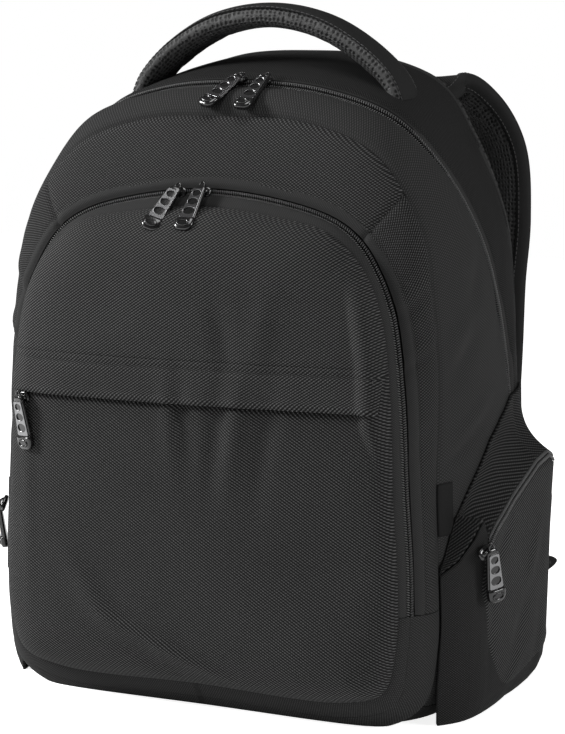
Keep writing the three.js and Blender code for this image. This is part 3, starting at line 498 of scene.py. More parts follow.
flap_out = np.tile((0.0, -1.0, 0.0), (flap_columns, 1))
stitch_run("flap_stitches", flap_line, flap_out, thread, "twill")
tack_z = np.linspace(flap_seam_height - 16, flap_seam_height - 3, 10)
tack_from = np.stack([np.full(10, flap_half_width - 3), np.full(10, -400), tack_z], -1)
tack_line = seat_along(face_seat, tack_from, (0, 1, 0)) - (0, 3.4, 0)
stitch_run("flap_bar_tack", tack_line, flap_out[:10], thread, "twill", 2.2, 1.1)

# Smooth band: a plain woven strip, 12 mm wide, that carries the pocket face to the zip's inner edge.
# It is felled down to both, and below the seam across the front it runs into the lower panel.
pocket_half_width = 157.5
pocket_top = 359.5
pocket_seam_rows = [
    (0, 0.022, 0.15), (0.75, 0.022, 0.15), (0.945, 0.061, 0.145), (0.993, 0.156, 0.141),
    (1, 0.286, 0.141), (0.975, 0.465, 0.141), (0.952, 0.637, 0.146), (0.9, 0.784, 0.16),
    (0.832, 0.857, 0.169), (0.737, 0.917, 0.178), (0.61, 0.954, 0.188), (0.336, 0.986, 0.195),
    (0, 1, 0.197),
]
cross_seam_height = 82
zip_slot = 3.3
band_swell = 1
pocket_zip_first = 3.5


def ring(front, rear, rows, swell, front_gap=0.0, rear_gap=0.0):
    outward = np.roll(front, -1, 0) - np.roll(front, 1, 0)
    outward = np.stack([outward[:, 2], np.zeros(len(front)), -outward[:, 0]], -1)
    outward /= np.linalg.norm(outward, axis=1, keepdims=True)
    width = np.linalg.norm(rear - front, axis=1)
    low = front_gap / width
    high = 1 - rear_gap / width
    steps = (1 - np.cos(np.linspace(0, math.pi, rows))) / 2
    share = (low + (high - low) * steps[:, None])[..., None]
    grid = front + (rear - front) * share + outward * swell * 4 * share * (1 - share)
    grid[..., 2] = np.maximum(grid[..., 2], 0)
    return grid


def zip_opening(loop, first, gap, plain=0.15):
    count = len(loop)
    station = np.arange(count) / stations_per_row
    last = count / stations_per_row - first
    near = np.clip(np.minimum(station - first, last - station) / 0.25 + 0.5, 0, 1)
    return plain + (gap - plain) * near * near * (3 - 2 * near)


def stand_off(grid, relief, closed=True):
    return grid + surface_normals(grid, closed) * relief[..., None]


def strip_uv(grid):
    middle = grid[len(grid) // 2][None]
    along = arc_from(np.concatenate([middle, middle[:, :1]], 1), 1)[0, :-1]
    across = arc_from(grid, 0)
    return np.stack([across, np.broadcast_to(along, across.shape)], -1)


def plain_cloth(name, tone, pitch, contrast=0.35, depth=0.12, roughness=0.68):
    # The contrast spreads the cloth's tone into painted highlight on the thread crowns and painted shade
    # between them.
    dark = (tone * (1 - contrast),) * 3
    light = (tone * (1 + contrast),) * 3
    return twill_cloth(name, dark, light, pitch, pitch, 0.5, depth, roughness)


pocket_loop = seam_loop(pocket_half_width, pocket_top, pocket_seam_rows)
pocket_slot = zip_opening(pocket_loop, pocket_zip_first, zip_slot)
band_grid = ring(face_loop, pocket_loop, 12, band_swell, 0.1, pocket_slot)
band_grid = stand_off(band_grid, seam_tuck(band_grid, 1.0, 1.6) + 0.5)
smooth_cloth = plain_cloth("smooth_cloth", 0.038, 1.5)
band_mesh = mesh_from("pocket_band", band_grid, strip_uv(band_grid))
trim(band_mesh, cross_seam_height, True)
band_piece = add_piece("pocket_band_cloth", band_mesh, smooth_cloth, "smooth_cloth", "pocket_band")
thicken(band_piece, 1.8)

# Pocket zip: a nylon coil on woven tape, set in the slot between the smooth band and the front
# panels. It arches over the pocket and ends just above the seam across the front on both sides.
coil_pitch = 1.7
coil_width = 6.4
tape_width = 10
tape_depth = 0.6
coil_rise = 1.7

coil = speckled_finish("nylon_coil", 500, (0.03,) * 3, (0.15,) * 3, 0.38)

tape_cloth = plain_cloth("zip_tape", 0.014, 1.1)


def frames_along(path, out):
    heading = unit(np.gradient(path, axis=0))
    out = unit(out - heading * (out * heading).sum(1, keepdims=True))
    return heading, out, np.cross(heading, out)


def zip_run(name, path, out, node):
    heading, out, aside = frames_along(path, out)
    tape_rows = np.linspace(-0.5, 0.5, 7)
    tape = np.stack([path + aside * (share * tape_width) - out * tape_depth for share in tape_rows])
    tape_mesh = mesh_from(f"{name}_tape", tape, strip_uv_open(tape), closed=False)
    tape_piece = add_piece(f"{name}_tape", tape_mesh, tape_cloth, "zip_coil", node)
    thicken(tape_piece, 0.6)
    places, outs, asides = evenly(path, coil_pitch / 2, out, aside)
    headings = unit(np.gradient(places, axis=0))
    hand = np.where(np.arange(len(places)) % 2 == 0, 1.0, -1.0)[:, None]
    lean = unit(asides * hand + headings * 0.35)
    centres = places + asides * hand * coil_width * 0.25 + outs * coil_rise
    beads(f"{name}_coil", centres, lean, outs, coil_width * 0.43, 0.9, 1.7, coil, "zip_coil")
    for row in (-1, 1):
        cord = places + asides * row * coil_width * 0.5 + outs * (coil_rise * 0.3)
        beads(f"{name}_seam_{'left' if row < 0 else 'right'}", cord[::2], headings[::2], outs[::2],
              coil_pitch * 0.9, 0.7, 0.6, thread, "zip_coil")


def welt_relief(grid, width, from_start=True):
    arc = arc_from(grid, 0)
    arc = arc if from_start else arc[-1] - arc
    raised = 0.7 / (1 + np.exp((arc - width) / 0.35))
    return raised - 0.5 * np.exp(-((arc - width - 0.9) / 0.8) ** 2)


def lay_welt(mesh, grid, width, cloth, from_start=True):
    arc = arc_from(grid, 0)
    arc = arc if from_start else arc[-1] - arc
    middle = (arc[:-1] + arc[1:]) / 2
    if len(mesh.polygons) != middle.size:
        middle = (middle[:, :-1] + middle[:, 1:]) / 2
    mesh.materials.append(cloth)
    inside = (middle < width).reshape(-1).astype(np.int32) * (len(mesh.materials) - 1)
    current = np.zeros(len(mesh.polygons), np.int32)
    mesh.polygons.foreach_get("material_index", current)
    mesh.polygons.foreach_set("material_index", np.where(inside > 0, inside, current).astype(np.int32))


def strip_uv_open(grid):
    along = arc_from(grid[len(grid) // 2][None], 1)[0]
    across = arc_from(grid, 0)
    return np.stack([across, np.broadcast_to(along, across.shape)], -1)


def seam_out(loop, before, after):
    along = np.roll(loop, -1, 0) - np.roll(loop, 1, 0)
    return unit(np.cross(after - before, along))


def zip_stretch(loop, out, first):
    start = int(first * stations_per_row)
    picked = np.arange(start, len(loop) - start + 1)
    return loop[picked], out[picked]


# Front panels: three pieces of twill round the pocket, top and sides, joined by a slanting seam at
# each shoulder. Their inner edge folds under along the zip, and their outer edge is the front seam.
front_half_width = 165
front_top = 412
front_seam_rows = [
    (0, 0, 0.215), (0.77, 0, 0.225), (0.955, 0.042, 0.255), (1, 0.131, 0.277),
    (0.994, 0.272, 0.282), (0.982, 0.405, 0.282), (0.997, 0.556, 0.277), (0.98, 0.709, 0.263),
    (0.945, 0.806, 0.263), (0.848, 0.883, 0.272), (0.68, 0.952, 0.286), (0.364, 0.994, 0.305),
    (0, 1, 0.31),
]
front_swell = 5
shoulder_station = 9
# Folds on a side: middle back and up, lean from upright in degrees, run, breadth and height, in mm
side_folds = [
    (-84, 300, 38, 13, 4, 1.5),
    (-88, 286, 38, 13, 4, -1.6),
    (-84, 262, 48, 16, 4, 1.7),
    (-90, 250, 48, 16, 4, -1.5),
    (-86, 200, 30, 16, 5, -1.2),
    (-45, 268, 50, 20, 7, 1.9),
    (-38, 252, 52, 22, 7, -1.9),
    (-30, 205, 62, 24, 6, 2.0),
    (-34, 190, 60, 22, 6, -2.0),
    (-48, 178, 70, 18, 5, 1.4),
    (-20, 300, 35, 26, 9, -1.5),
    (30, 290, 20, 30, 8, -1.2),
    (52, 240, 15, 30, 7, 1.2),
]
front_loop = seam_loop(front_half_width, front_top, front_seam_rows)
front_grid = ring(pocket_loop, front_loop, 30, front_swell, pocket_slot, 0.15)
front_relief = seam_tuck(front_grid, 1.5, 2.6)
front_relief += fold_heights(front_grid[..., 1], front_grid[..., 2], side_folds)
pocket_welt = 6.5
front_relief += welt_relief(front_grid, pocket_welt)
front_grid = stand_off(front_grid, front_relief)
# Dark and light colours of these twills: painted shade between the threads and painted highlight on their
# crowns.
front_twill = twill_cloth("front_twill", (0.011,) * 3, (0.105,) * 3, 3.0, 2.0, 0.5)
side_twill = twill_cloth("side_twill", (0.011,) * 3, (0.09,) * 3, 2.6, 2.0, 0.4)
shoulder = shoulder_station * stations_per_row
station_count = len(front_loop)


def span_of(grid, first, last):
    picked = np.arange(first, last + 1) % grid.shape[1]
    return grid[:, picked]


for name, first, last, paint in [
    ("front_panel_right", 0, shoulder, side_twill),
    ("front_panel_top", shoulder, station_count - shoulder, front_twill),
    ("front_panel_left", station_count - shoulder, station_count, side_twill),
]:
    part = span_of(front_grid, first, last)
    seam_side = {"front_panel_right": [1], "front_panel_top": [0, 1], "front_panel_left": [0]}[name]
    along = arc_from(part, 1)
    tuck = np.zeros(along.shape)
    for end in seam_side:
        away = along if end == 0 else along[:, -1:] - along
        tuck -= 1.3 * np.exp(-(away / 2.6) ** 2)
    part = stand_off(part, tuck, closed=False)
    uv = part[..., [0, 2]] if name == "front_panel_top" else strip_uv_open(part)
    panel_mesh = mesh_from(name, part, uv, closed=False)
    panel_mesh.materials.append(paint)
    lay_welt(panel_mesh, part, pocket_welt, smooth_cloth)
    trim(panel_mesh, cross_seam_height + 0.2, True)
    panel = add_piece(f"{name}_cloth", panel_mesh, paint, "twill", name)
    thicken(panel, cloth_thickness)

pocket_out = seam_out(pocket_loop, band_grid[-3], front_grid[2])
zip_run("pocket_zip", *zip_stretch(pocket_loop, pocket_out, pocket_zip_first), "pocket_zip")

# Lower front panel: one plain piece below the seam across the front, which turns under the pocket
# face and forms the bag's front toe.
lower_grid = np.concatenate([
    ring(face_loop, pocket_loop, 9, band_swell, 0.1, 0.0),
    ring(pocket_loop, front_loop, 26, front_swell, 0.0, 0.15)[1:],
])
lower_tuck = seam_tuck(lower_grid, 1.3, 2.4)
lower_grid = stand_off(lower_grid, lower_tuck)
lower_mesh = mesh_from("lower_front_panel", lower_grid, strip_uv(lower_grid))
trim(lower_mesh, cross_seam_height - 0.3, False)
# Dark and light colours: painted shade between the threads and painted highlight on their crowns.
fine_twill = twill_cloth("fine_twill", (0.018,) * 3, (0.062,) * 3, 2.4, 1.9, 0.55, 0.2)
lower_piece = add_piece(
    "lower_front_cloth", lower_mesh, fine_twill, "smooth_cloth", "lower_front_panel",
)
thicken(lower_piece, cloth_thickness)

# Front gusset: the wide side band between the front seam and the main zip, from base to top. It is a
# flatter weave than the front, and it slumps in soft slanting folds where the bag stands empty.
zip_half_width = 169
zip_top = 433
zip_seam_rows = [
    (0, 0, 0.6), (0.77, 0, 0.61), (0.95, 0.036, 0.648), (0.994, 0.127, 0.732), (1, 0.27, 0.798),
    (0.997, 0.409, 0.826), (0.992, 0.529, 0.812), (0.97, 0.707, 0.695), (0.916, 0.801, 0.61),
    (0.825, 0.878, 0.53), (0.667, 0.949, 0.455), (0.355, 0.99, 0.427), (0, 1, 0.423),
]
front_gusset_swell = 7
main_zip_first = 5.5
base_turn_up = 14
zip_loop = seam_loop(zip_half_width, zip_top, zip_seam_rows)
main_slot = zip_opening(zip_loop, main_zip_first, zip_slot)
gusset_grid = ring(front_loop, zip_loop, 36, front_gusset_swell, 0.15, main_slot)
gusset_relief = seam_tuck(gusset_grid, 1.6, 2.8)
gusset_relief += fold_heights(gusset_grid[..., 1], gusset_grid[..., 2], side_folds)
zip_welt = 3.5
gusset_relief += welt_relief(gusset_grid, zip_welt, from_start=False)
top_share = np.clip((zip_loop[:, 2] - 370) / 50, 0, 1)
from_zip = arc_from(gusset_grid, 0)[-1] - arc_from(gusset_grid, 0)
gusset_relief -= 3.6 * top_share * np.exp(-(from_zip / 11) ** 2)
gusset_grid = stand_off(gusset_grid, gusset_relief)
# Dark and light colours: painted shade between the threads and painted highlight on their crowns.
gusset_cloth = twill_cloth("gusset_twill", (0.02,) * 3, (0.06,) * 3, 3.6, 2.0, 0.4, 0.15)
gusset_mesh = mesh_from("front_gusset", gusset_grid, strip_uv(gusset_grid))
gusset_mesh.materials.append(gusset_cloth)
lay_welt(gusset_mesh, gusset_grid, zip_welt, smooth_cloth, from_start=False)
trim(gusset_mesh, base_turn_up + 0.2, True)
gusset_piece = add_piece("front_gusset_cloth", gusset_mesh, gusset_cloth, "smooth_cloth", "front_gusset")
thicken(gusset_piece, cloth_thickness)

seam_row = int(np.argmin(abs(arc_from(gusset_grid, 0)[:, 0] - 2.4)))
seam_path = gusset_grid[seam_row]
seam_normal = surface_normals(gusset_grid)[seam_row]
seam_picked = seam_path[:, 2] > base_turn_up + 4
seam_order = np.arange(len(seam_path))[seam_picked]
stitch_run("front_seam_stitches", seam_path[seam_order], seam_normal[seam_order], thread, "twill", 2.2, 3.0)

# Rear gusset: the band from the main zip back to the back panel, of a finer and darker twill than
# the front. It has a smooth welt along the zip and a smooth band along the back seam.
back_half_width = 157
back_top = 453
back_seam_rows = [
    (0, 0.004, 0.967), (0.764, 0.004, 0.967), (0.943, 0.036, 0.981), (0.994, 0.117, 0.995),
    (1, 0.258, 1), (0.997, 0.391, 1), (0.99, 0.536, 1), (0.962, 0.717, 0.995),
    (0.892, 0.803, 0.986), (0.796, 0.876, 0.977), (0.662, 0.949, 0.962), (0.37, 0.991, 0.958),
    (0, 1, 0.958),
]
rear_gusset_swell = 4
back_loop = seam_loop(back_half_width, back_top, back_seam_rows)
rear_grid = ring(zip_loop, back_loop, 32, rear_gusset_swell, main_slot, 0.15)
rear_relief = seam_tuck(rear_grid, 1.5, 2.6)
rear_relief += fold_heights(rear_grid[..., 1], rear_grid[..., 2], side_folds)
back_band = 10
rear_relief += welt_relief(rear_grid, zip_welt) + welt_relief(rear_grid, back_band, from_start=False)
rear_relief += 1.6 * top_share * np.exp(-((arc_from(rear_grid, 0) - 8) / 7) ** 2)
rear_grid = stand_off(rear_grid, rear_relief)
# Dark and light colours: painted shade between the threads and painted highlight on their crowns.
rear_twill = twill_cloth("rear_twill", (0.008,) * 3, (0.05,) * 3, 2.4, 1.85, 0.5)
rear_mesh = mesh_from("rear_gusset", rear_grid, strip_uv(rear_grid))
rear_mesh.materials.append(rear_twill)
lay_welt(rear_mesh, rear_grid, zip_welt, smooth_cloth)
lay_welt(rear_mesh, rear_grid, back_band, smooth_cloth, from_start=False)
trim(rear_mesh, base_turn_up + 0.2, True)
rear_piece = add_piece("rear_gusset_cloth", rear_mesh, rear_twill, "twill", "rear_gusset")
thicken(rear_piece, cloth_thickness)

# Main zip: the same coil, over the top and down both sides between the two gussets. Each end stops
# behind the wing of the side pocket.
zip_out = seam_out(zip_loop, gusset_grid[-3], rear_grid[2])
zip_out = unit(zip_out - top_share[:, None] * (0, 0.8, 0))
zip_run("main_zip", *zip_stretch(zip_loop, zip_out, main_zip_first), "main_zip")

# Base: the bottom of the same twill as the rear gusset. Its edge turns up and is sewn to both side
# bands all round.
base_grid = np.concatenate([
    ring(front_loop, zip_loop, 24, front_gusset_swell, 0.15, 0.0),
    ring(zip_loop, back_loop, 24, rear_gusset_swell, 0.0, 0.15)[1:],
])
base_grid[..., 2] += 0.2
base_mesh = mesh_from("base_panel", base_grid, base_grid[..., [0, 1]])
trim(base_mesh, base_turn_up - 0.2, False)
base_piece = add_piece("base_panel_cloth", base_mesh, rear_twill, "twill", "base_panel")
thicken(base_piece, -cloth_thickness)
base_piece.modifiers["cloth_thickness"].offset = 1

# Back panel: foam faced with spacer mesh, quilted into two upright pads and a middle channel that
# lets the air through. Its edge is bound to the rear gusset.
back_swell = 6
back_rows = 42
back_channel = 18
back_shares = np.sin(np.linspace(0, math.pi / 2, back_rows))[::-1]
back_spine = np.clip(back_loop[:, 2], 0.44 * face_top, 0.58 * face_top)
back_grid = np.zeros((back_rows, len(back_loop), 3))
back_grid[..., 0] = back_shares[:, None] * back_loop[None, :, 0]
back_grid[..., 2] = back_spine[None] + back_shares[:, None] * (back_loop[:, 2] - back_spine)[None]
back_middle = bag_depth - front_reach + back_swell
back_edge = back_loop[None, :, 1]
back_grid[..., 1] = back_middle + (back_edge - back_middle) * back_shares[:, None] ** 4
quilt_x = back_grid[..., 0]
quilt_z = back_grid[..., 2]
channels = -4.5 * np.exp(-(quilt_x / back_channel) ** 4)
for height in (110, 210, 310):
    channels -= 3 * np.exp(-((quilt_z - height) / 4) ** 2)
back_grid[..., 1] += channels * (1 - back_shares[:, None] ** 6)


# Spacer mesh whose pores are painted near black as shade in its holes.
def spacer_mesh(name, tone, pore_width, pore_height):
    paint = bpy.data.materials.new(name)
    paint.use_nodes = True
    tree = paint.node_tree
    shader = tree.nodes["Principled BSDF"]
    places = tree.nodes.new("ShaderNodeUVMap")
    places.uv_map = "cloth"
    scale = tree.nodes.new("ShaderNodeMapping")
    scale.inputs["Scale"].default_value = (1 / (pore_width * mm), 1 / (pore_height * mm), 1)
    tree.links.new(places.outputs[0], scale.inputs[0])
    cells = tree.nodes.new("ShaderNodeTexVoronoi")
    cells.inputs["Scale"].default_value = 1
    cells.inputs["Randomness"].default_value = 0.28
    tree.links.new(scale.outputs[0], cells.inputs["Vector"])
    pore = tree.nodes.new("ShaderNodeMapRange")
    pore.inputs["From Min"].default_value = 0.2
    pore.inputs["From Max"].default_value = 0.48
    tree.links.new(cells.outputs["Distance"], pore.inputs["Value"])
    hairs = tree.nodes.new("ShaderNodeTexNoise")
    hairs.inputs["Scale"].default_value = 2200
    tree.links.new(places.outputs[0], hairs.inputs["Vector"])
    # Painted shade: the pores are painted near black as shade down in the holes of the mesh, and the rims
    # between them take the mesh's own tone.
    tint = tree.nodes.new("ShaderNodeMix")
    tint.data_type = "RGBA"
    tint.inputs["A"].default_value = (0.003, 0.003, 0.003, 1)
    tint.inputs["B"].default_value = (tone, tone, tone, 1)
    tree.links.new(pore.outputs[0], tint.inputs["Factor"])
    tree.links.new(tint.outputs["Result"], shader.inputs["Base Color"])
    blend = tree.nodes.new("ShaderNodeMath")
    blend.operation = "MULTIPLY_ADD"
    blend.inputs[1].default_value = 0.25
    tree.links.new(hairs.outputs["Fac"], blend.inputs[0])
    tree.links.new(pore.outputs[0], blend.inputs[2])
    bump = tree.nodes.new("ShaderNodeBump")
    bump.inputs["Distance"].default_value = 0.9 * mm
    bump.inputs["Strength"].default_value = 0.9
    tree.links.new(blend.outputs[0], bump.inputs["Height"])
    tree.links.new(bump.outputs[0], shader.inputs["Normal"])
    shader.inputs["Roughness"].default_value = 0.6
    shader.inputs["Specular IOR Level"].default_value = 0.3
    return paint


back_mesh_cloth = spacer_mesh("back_mesh", 0.04, 2.4, 2.9)
back_mesh = mesh_from("back_panel", back_grid, back_grid[..., [0, 2]])
trim(back_mesh, -1, True)
back_piece = add_piece("back_panel_pad", back_mesh, back_mesh_cloth, "spacer_mesh", "back_panel")
thicken(back_piece, 6)

# Sliders and pulls: each zip's metal slider holds a moulded rubber pull by a short cord loop. A
# gunmetal plate with three oval holes is let into the pull, whose glossy end has an oval dish.
gunmetal = speckled_finish("gunmetal", 300, (0.2, 0.2, 0.203), (0.33, 0.33, 0.335), 0.24)
gunmetal.node_tree.nodes["Principled BSDF"].inputs["Metallic"].default_value = 1

rubber = speckled_finish("glossy_rubber", 700, (0.004,) * 3, (0.012,) * 3, 0.2)
rubber.node_tree.nodes["Principled BSDF"].inputs["Coat Weight"].default_value = 0.4

enamel = bpy.data.materials.new("black_enamel")
enamel.use_nodes = True
enamel_shader = enamel.node_tree.nodes["Principled BSDF"]
enamel_noise = enamel.node_tree.nodes.new("ShaderNodeTexNoise")
enamel_noise.inputs["Scale"].default_value = 260
enamel_wear = enamel.node_tree.nodes.new("ShaderNodeMapRange")
enamel_wear.inputs["To Min"].default_value = 0.1
enamel_wear.inputs["To Max"].default_value = 0.28
enamel.node_tree.links.new(enamel_noise.outputs["Fac"], enamel_wear.inputs["Value"])
enamel.node_tree.links.new(enamel_wear.outputs[0], enamel_shader.inputs["Roughness"])
enamel_shader.inputs["Base Color"].default_value = (0.006, 0.006, 0.006, 1)
enamel_shader.inputs["Coat Weight"].default_value = 0.6

pull_width = 13
pull_thickness = 3.6
pull_nose = 2
plate_length = 25
plate_width = 9
# Holes of the plate: place along it as a share, half height and half width
pull_holes = [(0.16, 2.5, 3.2), (0.45, 2.75, 3.9), (0.765, 3.0, 4.4)]
# The main zip's pulls tip towards the viewer, and the side zips' pulls turn forwards, in degrees
main_pull_tip = 12
side_pull_twist = {"side_zip_left": -30, "side_zip_right": 30}


def node_places(node):
    return np.array([corner.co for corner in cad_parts[node].data.vertices]) / mm


def main_axes(places):
    middle = (places.min(0) + places.max(0)) / 2
    centred = places - places.mean(0)
    return middle, np.linalg.svd(centred, full_matrices=False)[2]


def placed_mesh(name, points, faces, origin, axes):
    mesh = bpy.data.meshes.new(name)
    mesh.from_pydata(((origin + points @ axes) * mm).tolist(), [], faces)
    mesh.shade_smooth()
    return mesh


def oval_tube(rows, sides, roundness):
    """Points and faces of a closed form from rows of (along, half width, low, high)."""
    points = []
    for along, half, low, high in rows:
        for turn in range(sides):
            angle = 2 * math.pi * turn / sides
            c, s = math.cos(angle), math.sin(angle)
            points.append((along, math.copysign(abs(c) ** roundness, c) * half,
                           (low + high) / 2 + math.copysign(abs(s) ** roundness, s) * (high - low) / 2))
    faces = []
    for j in range(len(rows) - 1):
        for i in range(sides):
            k = (i + 1) % sides
            faces.append((j * sides + i, j * sides + k, (j + 1) * sides + k, (j + 1) * sides + i))
    faces.append(tuple(range(sides - 1, -1, -1)))
    faces.append(tuple((len(rows) - 1) * sides + i for i in range(sides)))
    return np.array(points), faces


def ring_mesh(radius_a, radius_b, girth, centre):
    points = []
    sides, rounds = 8, 28
    for turn in range(rounds):
        angle = 2 * math.pi * turn / rounds
        for side in range(sides):
            swing = 2 * math.pi * side / sides
            points.append((centre[0] + math.cos(angle) * (radius_a + girth * math.cos(swing)),
                           centre[1] + math.sin(angle) * (radius_b + girth * math.cos(swing)),
                           centre[2] + girth * math.sin(swing)))
    faces = [(t * sides + i, ((t + 1) % rounds) * sides + i, ((t + 1) % rounds) * sides + (i + 1) % sides,
              t * sides + (i + 1) % sides) for t in range(rounds) for i in range(sides)]
    return np.array(points), faces


def pierced_plate(name, outline, holes, thickness, edge):
    drawing = bpy.data.curves.new(name, "CURVE")
    drawing.dimensions = "2D"
    drawing.fill_mode = "BOTH"
    drawing.extrude = max(thickness / 2 - edge, 0.05)
    drawing.bevel_depth = edge
    drawing.bevel_resolution = 2
    drawing.offset = -edge
    drawing.resolution_u = 8
    for path in [outline, *holes]:
        line = drawing.splines.new("POLY")
        line.points.add(len(path) - 1)
        for point, (x, y) in zip(line.points, path):
            point.co = (x, y, 0, 1)
        line.use_cyclic_u = True
    holder = bpy.data.objects.new(name, drawing)
    scene.collection.objects.link(holder)
    flat = bpy.data.meshes.new_from_object(holder.evaluated_get(bpy.context.evaluated_depsgraph_get()))
    points = np.array([corner.co for corner in flat.vertices])
    faces = [tuple(face.vertices) for face in flat.polygons]
    bpy.data.objects.remove(holder)
    return points, faces


def circle(x, y, radius_x, radius_y=None, count=24):
    radius_y = radius_y or radius_x
    turns = [2 * math.pi * k / count for k in range(count)]
    return [(x + radius_x * math.cos(turn), y + radius_y * math.sin(turn)) for turn in turns]


def rounded_outline(length, start_half, end_half, corner):
    path = []
    corners = [(corner, -start_half, 180), (length - corner, -end_half, 270),
               (length - corner, end_half, 0), (corner, start_half, 90)]
    for x, y, first in corners:
        inner = y - math.copysign(corner, y)
        for step in range(7):
            angle = math.radians(first + step * 15)
            path.append((x + corner * math.cos(angle), inner + corner * math.sin(angle)))
    return path


def build_pull(name):
    plate_middle, axes = main_axes(node_places(f"{name}_pull_plate"))
    slider_middle, slider_axes = main_axes(node_places(f"{name}_slider"))
    pull_middle = node_places(f"{name}_pull").mean(0)
    along, aside, out = axes
    if np.dot(plate_middle - slider_middle, along) < 0:
        along = -along
    if np.dot(plate_middle - pull_middle, out) < 0:
        out = -out
    tip = math.radians(main_pull_tip if name.startswith("main") else 0)
    tipped_along = along * math.cos(tip) + out * math.sin(tip)
    out = out * math.cos(tip) - along * math.sin(tip)
    along = tipped_along
    aside = np.cross(out, along)
    twist = math.radians(side_pull_twist.get(name, 0))
    turned_aside = aside * math.cos(twist) + out * math.sin(twist)
    out = out * math.cos(twist) - aside * math.sin(twist)
    aside = turned_aside
    axes = np.stack([along, aside, out])
    start = plate_middle - along * (pull_nose + plate_length / 2) - out * (pull_thickness + 0.8)
    half = pull_width * 0.56
    body_rows = [
        (-2, 1.6, 1.0, 2.4), (-1.4, 3.0, 0.5, 3.0), (0, 4.1, 0.2, 3.4), (1.5, 4.7, 0, 3.5), (8, 5.3, 0, 3.5),
        (17, 5.9, 0, 3.5), (25.6, 6.5, 0, 3.5), (27, 6.7, -0.1, 3.7), (27.7, 6.9, -0.2, 5.3),
        (28.6, half, -0.2, 5.6), (32.6, half, -0.2, 5.6), (34.8, half * 0.9, -0.1, 5.4),
        (36.2, half * 0.72, 0.3, 5.0), (37, half * 0.5, 0.9, 4.3), (37.3, half * 0.3, 1.4, 3.8),
    ]
    points, faces = oval_tube(body_rows, 28, 0.55)
    body = placed_mesh(f"{name}_pull_body", points, faces, start, axes)
    body_piece = add_piece(f"{name}_pull_rubber", body, rubber, "rubber", f"{name}_pull")
    body_piece.modifiers.new("moulded", "SUBSURF").levels = 1
    outline = rounded_outline(plate_length, plate_width * 0.46, plate_width * 0.62, 1.2)
    holes = [circle(plate_length * share, 0, tall, wide) for share, tall, wide in pull_holes]
    points, faces = pierced_plate(f"{name}_plate_drawing", outline, holes, 1.0, 0.28)
    points = points + (pull_nose, 0, pull_thickness + 0.15)
    plate = placed_mesh(f"{name}_plate_metal", points, faces, start, axes)
    plate.shade_flat()
    add_piece(f"{name}_plate_metal", plate, gunmetal, "gunmetal", f"{name}_pull_plate")
    points, faces = ring_mesh(2.3, 4.3, 0.75, (32.2, 0, 5.55))
    dish = placed_mesh(f"{name}_dish_rim", points, faces, start, axes)
    add_piece(f"{name}_dish_rim", dish, rubber, "rubber")
    points, faces = ring_mesh(3.0, 1.9, 0.75, (-2.4, 0, 1.6))
    cord_loop = placed_mesh(f"{name}_cord_loop", points, faces, start, axes)
    add_piece(f"{name}_cord_loop", cord_loop, rubber, "rubber")
    length_way, width_way, rise_way = slider_axes
    if np.dot(out, rise_way) < 0:
        rise_way = -rise_way
    width_way = np.cross(rise_way, length_way)
    slider_frame = np.stack([length_way, width_way, rise_way])
    slider_rows = [(-6, 2.2, -1.4, 0.6), (-5.4, 2.8, -1.9, 1.0), (-3, 4.0, -2.1, 1.2), (3, 4.2, -2.1, 1.2),
                   (5.4, 3.0, -1.9, 1.0), (6, 2.4, -1.4, 0.6)]
    points, faces = oval_tube(slider_rows, 24, 0.5)
    slider = placed_mesh(f"{name}_slider_body", points, faces, slider_middle, slider_frame)
    add_piece(f"{name}_slider_body", slider, enamel, "gunmetal", f"{name}_slider")
    arch = [(4.2 * math.cos(a), 0.0, 0.8 + 2.3 * math.sin(a)) for a in np.linspace(0, math.pi, 13)]
    bridge = []
    bridge_faces = []
    for x, y, z in arch:
        bridge += [(x, -1.4, z - 0.5), (x, 1.4, z - 0.5), (x, 1.1, z + 0.5), (x, -1.1, z + 0.5)]
    for j in range(12):
        for i in range(4):
            k = (i + 1) % 4
            bridge_faces.append((j * 4 + i, j * 4 + k, j * 4 + 4 + k, j * 4 + 4 + i))
    bridge_faces += [(3, 2, 1, 0), (48, 49, 50, 51)]
    bridge_mesh = placed_mesh(
        f"{name}_slider_bridge", np.array(bridge), bridge_faces, slider_middle, slider_frame,
    )
    add_piece(f"{name}_slider_bridge", bridge_mesh, enamel, "gunmetal")


for zip_name in ("pocket_zip_left", "pocket_zip_right", "main_zip_left", "main_zip_right", "flap_zip",
                 "side_zip_left", "side_zip_right"):
    build_pull(zip_name)

# Haul handle: a padded roll of spacer mesh between two feet behind the main zip, with a plain strip
# over its top and a chain stitch along both edges of the strip.
handle_span = 206
handle_rise = 49
handle_width = 38
handle_thickness = 13
handle_back = 10
strip_width = 30
handle_rows = [(-1, -0.12), (-0.93, 0.16), (-0.72, 0.55), (-0.4, 0.88), (0, 1), (0.4, 0.86), (0.72, 0.53),
               (0.93, 0.16), (1, -0.12)]
handle_steps = 110
body_seat = seat_of(face_grid, band_grid, front_grid, gusset_grid, rear_grid)
crest, foot = seat_along(
    body_seat, np.array([(0, handle_back, 900.0), (handle_span / 2, handle_back, 900.0)]), (0, 0, -1),
)[:, 2]
handle_lift = crest + handle_rise - handle_thickness - foot
handle_spots = [(across * handle_span / 2, handle_back, foot + up * handle_lift)
                for across, up in handle_rows]
handle_line = smooth_line(handle_spots, handle_steps)


def band_frames(path, wish):
    heading = unit(np.gradient(path, axis=0))
    out = unit(np.cross(wish, heading))
    return heading, out, np.cross(heading, out)


def pad_tube(path, wish, width, thickness, sides, edge, face):
    heading, out, aside = band_frames(path, wish)
    angle = np.arange(sides) / sides * 2 * math.pi
    u = np.sign(np.cos(angle)) * np.abs(np.cos(angle)) ** edge * width / 2
    v = np.sign(np.sin(angle)) * np.abs(np.sin(angle)) ** face * thickness / 2
    return path[:, None] + aside[:, None] * u[None, :, None] + out[:, None] * v[None, :, None]


